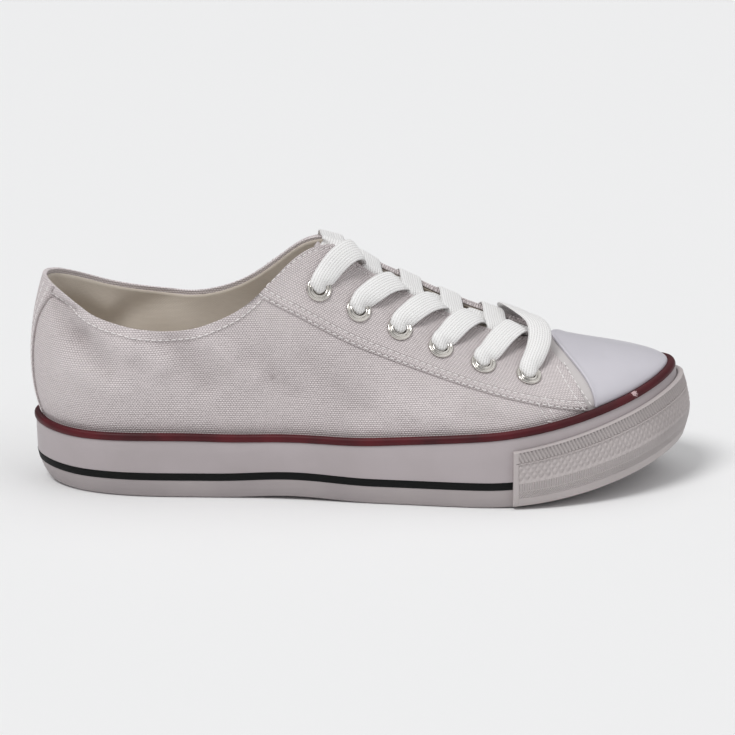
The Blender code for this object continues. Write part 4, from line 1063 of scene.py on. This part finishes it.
def makeBumper():
    start = 1 - float(turnOf(bumper["start"]))
    dense = np.linspace(start, -start, 4001)
    walk = walked(sidePoint(dense, bumper["walkHeight"], 0.0)) / mm
    travel = np.linspace(0, walk[-1], bumper["columns"])
    around = np.interp(travel, walk, dense)
    aside = np.abs(2 * travel / walk[-1] - 1) ** 1.5
    drop = bumper["tipDrop"] + (bumper["drop"] - bumper["tipDrop"]) * aside
    tall = (sideHeight(np.abs(1 - np.mod(around, 2))) - drop - bumper["foot"]) / mm
    cuts = np.array(bumper["rows"])
    down = cuts[:, None] / bumper["fullHeight"] * tall[None]
    d = cuts[:, None] + 0 * down
    t = travel[None] + 0 * d
    endAway = np.minimum(t, walk[-1] - t)
    field = smooth(endAway, bumper["margin"] - 0.2, bumper["margin"] + 0.2)
    rib = (0.5 - 0.5 * np.cos(2 * math.pi * (t - bumper["ribLean"] * d) / bumper["ribPitch"])) ** 2
    ribBand = smooth(d, bumper["lipEnd"] - 0.1, bumper["lipEnd"] + 0.2)
    ribBand *= smooth(d, bumper["ribEnd"], bumper["ribEnd"] - 0.15)
    open1, open2, close1, close2 = bumper["groove"]
    groove = smooth(d, open1, open2) * smooth(d, close2, close1)
    p = t / bumper["pyramidWide"]
    q = d / bumper["pyramidTall"]
    wave = np.minimum(np.abs(np.mod(p + q, 1) - 0.5), np.abs(np.mod(p - q, 1) - 0.5)) * 2
    pyramidBand = smooth(d, bumper["stepEnd"] + 0.1, bumper["stepEnd"] + 0.5)
    pyramidBand *= smooth(d, bumper["pyramidEnd"], bumper["pyramidEnd"] - 0.4)
    sink = ribBand * field * (0.10 + bumper["ribDepth"] * rib) + groove * 0.5 * smooth(endAway, 1.0, 1.4)
    sink += pyramidBand * field * (bumper["pyramidDepth"] * (1 - wave) - 0.08)
    sink += 0.15 * smooth(d, 4.9, 5.3) * field
    sink += 0.9 * np.maximum(1 - d / 0.5, 0) ** 2 + 0.45 * np.maximum(1 - endAway / 0.35, 0) ** 2
    proud = bumper["face"] - sink * mm
    rows = [sidePoint(around, drop + down[k] * mm, -proud[k], True) for k in range(len(cuts))]
    foot, face, back = bumper["foot"], -proud[-1], bumper["back"] + 0 * around
    for height, inset in ((foot + 1.0 * mm, face), (foot + 0.3 * mm, face + 0.25 * mm),
                          (foot, face + 0.9 * mm), (foot, back), (6.8 * mm, back), (10.1 * mm, back),
                          (17.5 * mm, back)):
        rows.append(sidePoint(around, height + 0 * around, inset))
    rows.append(sidePoint(around, drop, back, True))
    count, columns = len(rows), len(around)
    low = np.concatenate([cuts, np.full(count - len(cuts), cuts[-1])])
    uv = np.stack(np.broadcast_arrays(travel[None] * mm, -low[:, None] * mm), -1)
    faces = (gridFaces(count + 1, columns) % (count * columns)).tolist()
    faces.append([k * columns for k in range(count)])
    faces.append([k * columns + columns - 1 for k in reversed(range(count))])
    # partly dust, partly painted shade: darker in pyramid hollows, rib valleys and the groove
    valley = np.zeros((count, columns))
    valley[: len(cuts)] = np.clip((sink - 0.42) / 0.35, 0, 1) * (d > 4.6) + 2.2 * ribBand * rib + 1.2 * groove
    valley[: len(cuts)] *= field
    made = addMesh("toeBumperBand", np.concatenate(rows), faces, uv, {"valley": valley})
    weld(made)
    made.data.shade_smooth()
    made.data.set_sharp_from_angle(angle=math.radians(50))
    dress(made, [bumperMaterial()], "rubber", "toe_bumper", "bumper_ribs")


# The bumper's two finest bands, upright and slanted lines, are relief in its rubber. Its hollows are
# painted grey, partly as dust and partly as painted shade: pyramid hollows, rib valleys, the groove and
# the fine lines' troughs. Each band's values are its top, its foot and its lines' pitch, in mm.
def bumperMaterial():
    tree = bumperRubber.node_tree
    put = partial(addNode, tree)
    shader = tree.nodes["Principled BSDF"]
    split = put("ShaderNodeSeparateXYZ", put("ShaderNodeUVMap", uv_map="thread")).node.outputs
    down = put(calc, split[1], -1 / mm, operation="MULTIPLY")
    along = put(calc, split[0], 1 / mm, operation="MULTIPLY")
    lines = None
    for key, place in (("upright", along), ("slanted", put(calc, along, down, operation="ADD"))):
        top, end, pitch = bumper[key]
        wave = put(calc, put(calc, place, 2 * math.pi / pitch, operation="MULTIPLY"), operation="SINE")
        inside = put(calc, put(calc, down, top, operation="GREATER_THAN"),
                     put(calc, down, end, operation="LESS_THAN"), operation="MULTIPLY")
        band = put(calc, wave, inside, operation="MULTIPLY")
        lines = band if lines is None else put(calc, lines, band, operation="ADD")
    inField = put(calc, along, bumper["linesFrom"], operation="GREATER_THAN")
    lines = put(calc, lines, inField, operation="MULTIPLY")
    dustAndShade = put(calc, put("ShaderNodeAttribute", attribute_name="valley", output="Fac"), 0.20,
               put(calc, lines, -0.08, operation="MULTIPLY"), operation="MULTIPLY_ADD")
    plain = shader.inputs["Base Color"].links[0].from_socket
    grain = shader.inputs["Normal"].links[0].from_socket
    setSockets(shader, {
        "Base Color": put("ShaderNodeMix", dustAndShade, named={6: plain, 7: hexColour("#8f8887")},
                          output=2, data_type="RGBA"),
        "Normal": put("ShaderNodeBump", named={
            "Strength": 1.0, "Distance": 0.16 * mm, "Height": lines, "Normal": grain})})
    return bumperRubber


makeBumper()


# Tongue: a strip with rounded edges under the throat, from edge to edge a share of the wall, sunk below
# it and rising again to its seam at the toe end.
tongue = {
    "back": 0.455, "front": 0.825, "seam": 0.80, "fall": 0.10, "edge": 0.66, "thickness": 2.3 * mm,
    "drop": 7.2 * mm, "depth": 1.8 * mm, "rows": 60, "halfColumns": 24, "roundColumns": 5, "roundShare": 0.45,
}


def makeTongue():
    rows, half = tongue["rows"], tongue["halfColumns"]
    columns = 2 * half - 1
    along = np.linspace(tongue["back"], tongue["front"], rows)
    drop = tongue["depth"] + last["gap"]
    drop = drop + tongue["drop"] * ramp(along, tongue["seam"], tongue["seam"] - tongue["fall"])
    level = np.linspace(tongue["edge"], 1.0, half)
    turn = turnOf(along)[:, None]
    around = np.concatenate([np.repeat(1 - turn, half, 1), np.repeat(1 + turn, half - 1, 1)], 1)
    share = np.concatenate([level, level[-2::-1]])[None] + 0 * around
    flat = wall(around, share)
    normal = skinNormal(around, share)
    number = np.arange(columns)
    edgeAway = np.minimum(number, columns - 1 - number) / tongue["roundColumns"]
    rounded = 1 - np.sqrt(np.clip(1 - np.clip(1 - edgeAway, 0, 1) ** 2, 0, 1))
    thin = tongue["roundShare"] * tongue["thickness"] * rounded[None, :, None]
    outer = flat - normal * (drop[:, None, None] + thin)
    inner = flat - normal * (drop[:, None, None] + tongue["thickness"] - thin)
    length = np.repeat(along[:, None] * last["length"], columns, 1)
    uv = np.stack([length, np.repeat(walked(flat[rows // 2])[None], rows, 0)], -1)
    dress(sheetMesh("tongueCanvas", outer, inner, uv), [canvas], "canvas", "tongue")


# Footbed: a flat pad whose rim turns up a little; rises and insets are from its top and its edge.
def makeFootbed():
    edge = thick + 3 * last["gap"] + 1.8 * mm
    low = sole["plateau"] + last["gap"]
    rim = ((1.2, 0.0), (1.4, 0.7), (0.9, 2.5), (0.2, 5.5), (0.0, 9.0))
    top = low + sole["insoleThickness"]
    profile = [(low, edge)] + [(top + rise * mm, edge + inset * mm) for rise, inset in rim]
    dress(cappedRings("footbedPad", profile, 320, mapped=True), [footbedCloth], "lining", "insole")


makeTongue()
makeFootbed()


# Eyelets: a flange with two rolled rims on a short barrel, set square to the facing. Its profile is
# (radius, height over the facing) in mm.
eyelet = {
    "sides": 36, "lift": 0.12 * mm,
    "profile": ((2.50, -3.0), (2.50, 0.2), (2.62, 0.75), (2.90, 1.10), (3.25, 1.15), (3.52, 0.90),
                (3.68, 0.58), (3.90, 0.50), (4.15, 0.72), (4.50, 0.92), (4.82, 0.82), (5.05, 0.45),
                (5.05, 0.12), (4.85, 0.0), (3.05, 0.0), (2.80, -0.3), (2.80, -3.0)),
}


def makeEyelets():
    base = upperParts["stayBase"] + upperParts["stay"] + eyelet["lift"]
    profile = [(radius * mm, height * mm) for radius, height in eyelet["profile"]]
    template = turnedTemplate("eyelet", profile, eyelet["sides"], closed=True)
    centres = [seat["centre"] + seat["out"] * base for seat in seats]
    made = instanceOn("eyeletSet", centres, [seat["out"] for seat in seats], template, steel, "Z")
    names = [f"eyelet_{side}_{row}" for side in ("lateral", "medial") for row in range(1, 7)]
    dress(made, [steel], "steel", *names)


makeEyelets()


# Lace: one flat strip through every eyelet. Strand points are (rows towards the toe, side: 1 its own or
# -1 the far one, across, offset in mm, curl): across runs 0 at the eyelet, 1 at the facing's edge, 2 at
# the middle of the throat; curl is how hollow the strip is, 1 bunched in an eyelet and 0 flat.
lace = {
    "width": 9.8 * mm, "thickness": 1.0 * mm, "bunch": 1.75 * mm, "step": 0.8 * mm,
    "crests": ((0.80, 5.8), (0.90, 3.6), (0.86, 3.8), (0.74, 4.2), (0.70, 5.4)),
    "rims": (1.1, 1.5, 1.5, 1.6, 1.9),
    "bar": ((0.10, 1, 0.30, 5.2, 0.28), (0.20, 1, 0.66, 7.4, 0.12), (0.08, 1, 1.00, 8.2, 0.05),
            (-0.12, 1, 1.60, 8.2, 0.0), (-0.30, -1, 1.70, 6.5, 0.0), (-0.42, -1, 1.05, 4.4, 0.0),
            (-0.34, -1, 0.60, 3.8, 0.05), (-0.10, -1, 0.25, 3.4, 0.35)),
    "bore": ((-6.2, -1.9, 0.50), (-3.0, -1.45, 0.95), (0.2, -1.45, 1.0), (1.8, -1.2, 0.66), (2.9, 0.0, 0.42)),
}


# The strip from an outer eyelet lies over its facing, crests above the facing's edge almost a row on,
# and dives under the far facing; the strip from an inner eyelet goes almost straight across, lower.
def strandSpots(kind, row):
    if kind == "over":
        on, high = lace["crests"][row - 1]
        return ((0.12, 1, 0.26, 3.5, 0.20), (on * 0.40, 1, 0.52, 4.5, 0.07),
                (on * 0.72, 1, 0.82, high + 0.7, 0.04), (on, 1, 1.08, high, 0.05),
                (on + 0.10, 1, 1.35, high * 0.40, 0.0), (on + 0.20, -1, 1.90, -0.6, 0.0),
                (on + 0.28, -1, 1.30, -0.9, 0.0), (on + 0.32, -1, 1.07, -2.4, 0.0),
                (1.12, -1, 0.92, -4.0, 0.0))
    high = lace["rims"][row - 1]
    return ((0.08, 1, 0.32, 3.2, 0.35), (0.18, 1, 0.68, max(high, 2.6), 0.10), (0.25, 1, 1.05, high, 0.0),
            (0.28, 1, 1.70, high * 0.6 + 0.7, 0.0), (0.31, -1, 1.60, 1.7, 0.0), (0.34, -1, 1.25, 1.2, 0.0),
            (0.37, -1, 1.09, -0.6, 0.0), (0.40, -1, 1.05, -2.6, 0.0), (0.50, -1, 0.90, -4.2, 0.0))


def seatAt(side, row):
    return seats[(0 if side < 0 else 6) + row - 1]


def laceSpot(row, side, across, offset):
    mine = seats[:6] if side < 0 else seats[6:]
    numbers = np.arange(1, 7)
    around = float(np.interp(row, numbers, [seat["around"] for seat in mine]))
    if row > 6:
        around += (mine[-1]["around"] - mine[-2]["around"]) * (row - 6)
    eye = float(np.interp(row, numbers, [seat["level"] for seat in mine]))
    level = eye + (float(topAt(around)) - eye) * min(across, 1.0)
    point, out = wall(around, level), wallNormal(around, level)
    if across > 1:
        other = 2 - around
        otherTop = topAt(other)
        blend = (across - 1) / 2
        point = point * (1 - blend) + wall(other, otherTop) * blend
        out = unit(out * (1 - blend) + wallNormal(other, np.minimum(otherTop, 0.998)) * blend)
    return point + out * offset * mm, out


# points in a bore, from inside to outside when rising; the strip's face turns with sign
def throughEyelet(seat, rising, sign):
    spots = []
    for out, climb, curl in lace["bore"]:
        point = seat["centre"] + (seat["out"] * out + seat["climb"] * climb) * mm
        spots.append((point, -seat["climb"] * sign, -curl * sign))
    return spots if rising else spots[::-1]


# one strip from an eyelet to the far side's next one, in the order of travel
def strand(side, row, sign, goingDown):
    kind = "over" if side < 0 else "under"
    spots = []
    for shift, own, across, offset, curl in strandSpots(kind, row):
        point, out = laceSpot(row + shift, side * own, across, offset)
        if kind == "under" and row == 1 and across > 0.6:
            out = out * 0.45 + np.array([0.0, 0.0, 0.55])
        spots.append((point, out * sign, -curl * sign))
    far = seatAt(-side, row + 1)
    tuck = far["centre"] + (far["out"] * -5.2 + far["climb"] * 5.0) * mm
    spots.append((tuck, far["out"] * sign, -0.25 * sign))
    return spots if goingDown else spots[::-1]


# down the rows from the outer top eyelet, across the bar, and back up to the inner top eyelet
def laceControls():
    side, sign = -1, 1.0
    controls = throughEyelet(seatAt(side, 1), True, sign)
    for row in range(1, 6):
        controls += strand(side, row, sign, True)
        side, sign = -side, -sign
        controls += throughEyelet(seatAt(side, row + 1), True, sign)
    for shift, own, across, offset, curl in lace["bar"][::-1]:
        point, out = laceSpot(6 + shift, -1 * own, across, offset)
        controls.append((point, out * sign, -curl * sign))
    side = -side
    controls += throughEyelet(seatAt(side, 6), False, sign)
    sign = -sign
    for row in range(5, 0, -1):
        side = -side
        controls += strand(side, row, sign, False)
        controls += throughEyelet(seatAt(side, row), False, sign)
        sign = -sign
    return [np.array([spot[part] for spot in controls]) for part in range(3)]


def eased(values):
    values[1:-1] = (values[:-2] + 2 * values[1:-1] + values[2:]) / 4


def makeLace():
    places, faces, curls = laceControls()
    gaps = np.linalg.norm(np.diff(places, axis=0), axis=1)
    knots = np.concatenate([[0], np.cumsum(np.maximum(gaps, 0.8 * mm))])
    at = np.linspace(0, knots[-1], int(knots[-1] / lace["step"]))
    path = np.stack([spline(knots, places[:, axis])(at) for axis in range(3)], -1)
    out = np.stack([np.interp(at, knots, faces[:, axis]) for axis in range(3)], -1)
    curl = np.interp(at, knots, curls)
    for _ in range(2):
        eased(curl)
        eased(out)
    run = unit(np.gradient(path, axis=0))
    across = unit(np.cross(run, out))
    for _ in range(3):
        eased(across)
        across = unit(across)
    out = np.cross(across, run)
    walk = walked(path)
    s = np.linspace(-1, 1, 15) * lace["width"] / 2
    bend = np.where(np.abs(curl) < 0.02, 0.02, curl)[:, None] / lace["bunch"]
    tilt = bend * s[None]
    sideways = np.sin(tilt) / bend * (1 - 0.12 * np.abs(curl)[:, None])
    lift = (1 - np.cos(tilt)) / bend
    centre = path[:, None] + across[:, None] * sideways[..., None] + out[:, None] * lift[..., None]
    normal = out[:, None] * np.cos(tilt)[..., None] - across[:, None] * np.sin(tilt)[..., None]
    half = lace["thickness"] / 2 * np.sqrt(np.clip(1 - (np.abs(s) / (lace["width"] / 2)) ** 6, 0.04, 1))
    half = half[None, :, None]
    section = np.concatenate([centre + normal * half, (centre - normal * half)[:, ::-1]], 1)
    count = section.shape[1]
    uv = np.zeros(section.shape[:2] + (2,))
    uv[..., 0] = walk[:, None]
    uv[..., 1] = np.concatenate([s, s[::-1]])[None] + lace["width"]
    faces = gridFaces(len(path), count, wrap=True).tolist()
    faces.append(list(range(count)))
    faces.append([(len(path) - 1) * count + i for i in reversed(range(count))])
    made = addMesh("laceStrip", section, faces, uv)
    weld(made)
    print("lace length", round(float(walk[-1]), 3), "m")
    names = [f"lace_cross_{row}" for row in range(1, 6)] + ["lace_bar_6"]
    dress(made, [laceCotton], "lace", *names)


makeLace()


# Stitches: capsules 2.1 mm long set every 2.7 mm along the seams.
stitching = {
    "pitch": 2.7 * mm, "length": 2.1 * mm, "thick": 0.50 * mm, "collarRow": 3.4 * mm,
    "rings": ((-0.5, 0.25), (-0.36, 0.8), (0.0, 1.0), (0.36, 0.8), (0.5, 0.25)),
}


def collarLine(distance):
    around = np.linspace(0.42, 1.58, 360)
    shares = np.linspace(0, 1, 60)[:, None] * topAt(around)
    climb = walked(wall(np.repeat(around[None], 60, 0), shares))
    share = [np.interp(climb[-1, i] - distance, climb[:, i], shares[:, i]) for i in range(360)]
    return skin(around, share, upperParts["hemProud"] + 0.10 * mm)


def makeStitches():
    points, facing = [], []
    for line in stitchLines:
        walk = walked(line)
        for at in np.arange(stitching["pitch"] / 2, walk[-1], stitching["pitch"]):
            behind, spot, ahead = [np.array([np.interp(at + step, walk, line[:, axis]) for axis in range(3)])
                                   for step in (-0.5 * mm, 0.0, 0.5 * mm)]
            points.append(spot)
            facing.append(unit(ahead - behind))
    rings = [(radius * stitching["thick"] / 2, along * stitching["length"])
             for along, radius in stitching["rings"]]
    template = turnedTemplate("stitch", rings, 6, lying=True)
    made = instanceOn("seamStitches", points, facing, template, thread, "X")
    print("stitches", len(points))
    dress(made, [thread], "lace")


stitchLines.append(collarLine(stitching["collarRow"]))
makeStitches()


# Floor, light and camera
studio = {
    "distance": 1.2, "elevation": 15.0, "target": (0.1331, 0.0, 0.0444), "pixelsPerMetre": 2494.0,
    "frame": 735, "sensor": 36.0, "sky": (0.97, 0.98, 1.0, 1.0), "skyPower": 0.31, "floorHalf": 30.0,
}
# each sun: name, direction of its light, softness in degrees, power
suns = (
    ("keySun", (0.38, 0.42, -0.83), 24.0, 1.60), ("topSun", (-0.15, -0.25, -0.95), 60.0, 0.50),
    ("toeSun", (-0.70, 0.35, -0.62), 50.0, 0.45),
)


def makeStage():
    world = bpy.data.worlds.new("studio")
    world.use_nodes = True
    setSockets(world.node_tree.nodes["Background"], {0: studio["sky"], 1: studio["skyPower"]})
    bpy.context.scene.world = world
    mesh = bpy.data.meshes.new("floor")
    size = studio["floorHalf"]
    corners = [(-size, -size, 0), (size, -size, 0), (size, size, 0), (-size, size, 0)]
    mesh.from_pydata(corners, [], [(0, 1, 2, 3)])
    paint = {"Roughness": 0.95, "Base Color": hexColour("#f3f3f3")}
    mesh.materials.append(startMaterial("paintedFloor", paint)[0])
    newObject("floor", mesh)
    for name, aim, softness, power in suns:
        lamp = bpy.data.lights.new(name, "SUN")
        lamp.energy = power
        lamp.angle = math.radians(softness)
        newObject(name, lamp).rotation_euler = Vector(aim).to_track_quat("-Z", "Y").to_euler()


def makeCamera():
    lens = bpy.data.cameras.new("camera")
    lens.sensor_width = studio["sensor"]
    lens.lens = studio["pixelsPerMetre"] * studio["distance"] / studio["frame"] * studio["sensor"]
    holder = newObject("camera", lens)
    rise = math.radians(studio["elevation"])
    target = Vector(np.array(studio["target"]) + toRow)
    holder.location = target + studio["distance"] * Vector((0, -math.cos(rise), math.sin(rise)))
    holder.rotation_euler = (target - holder.location).to_track_quat("-Z", "Y").to_euler()
    bpy.context.scene.camera = holder


makeStage()
makeCamera()
bpy.context.scene.view_settings.view_transform = "Standard"
print("scene done")
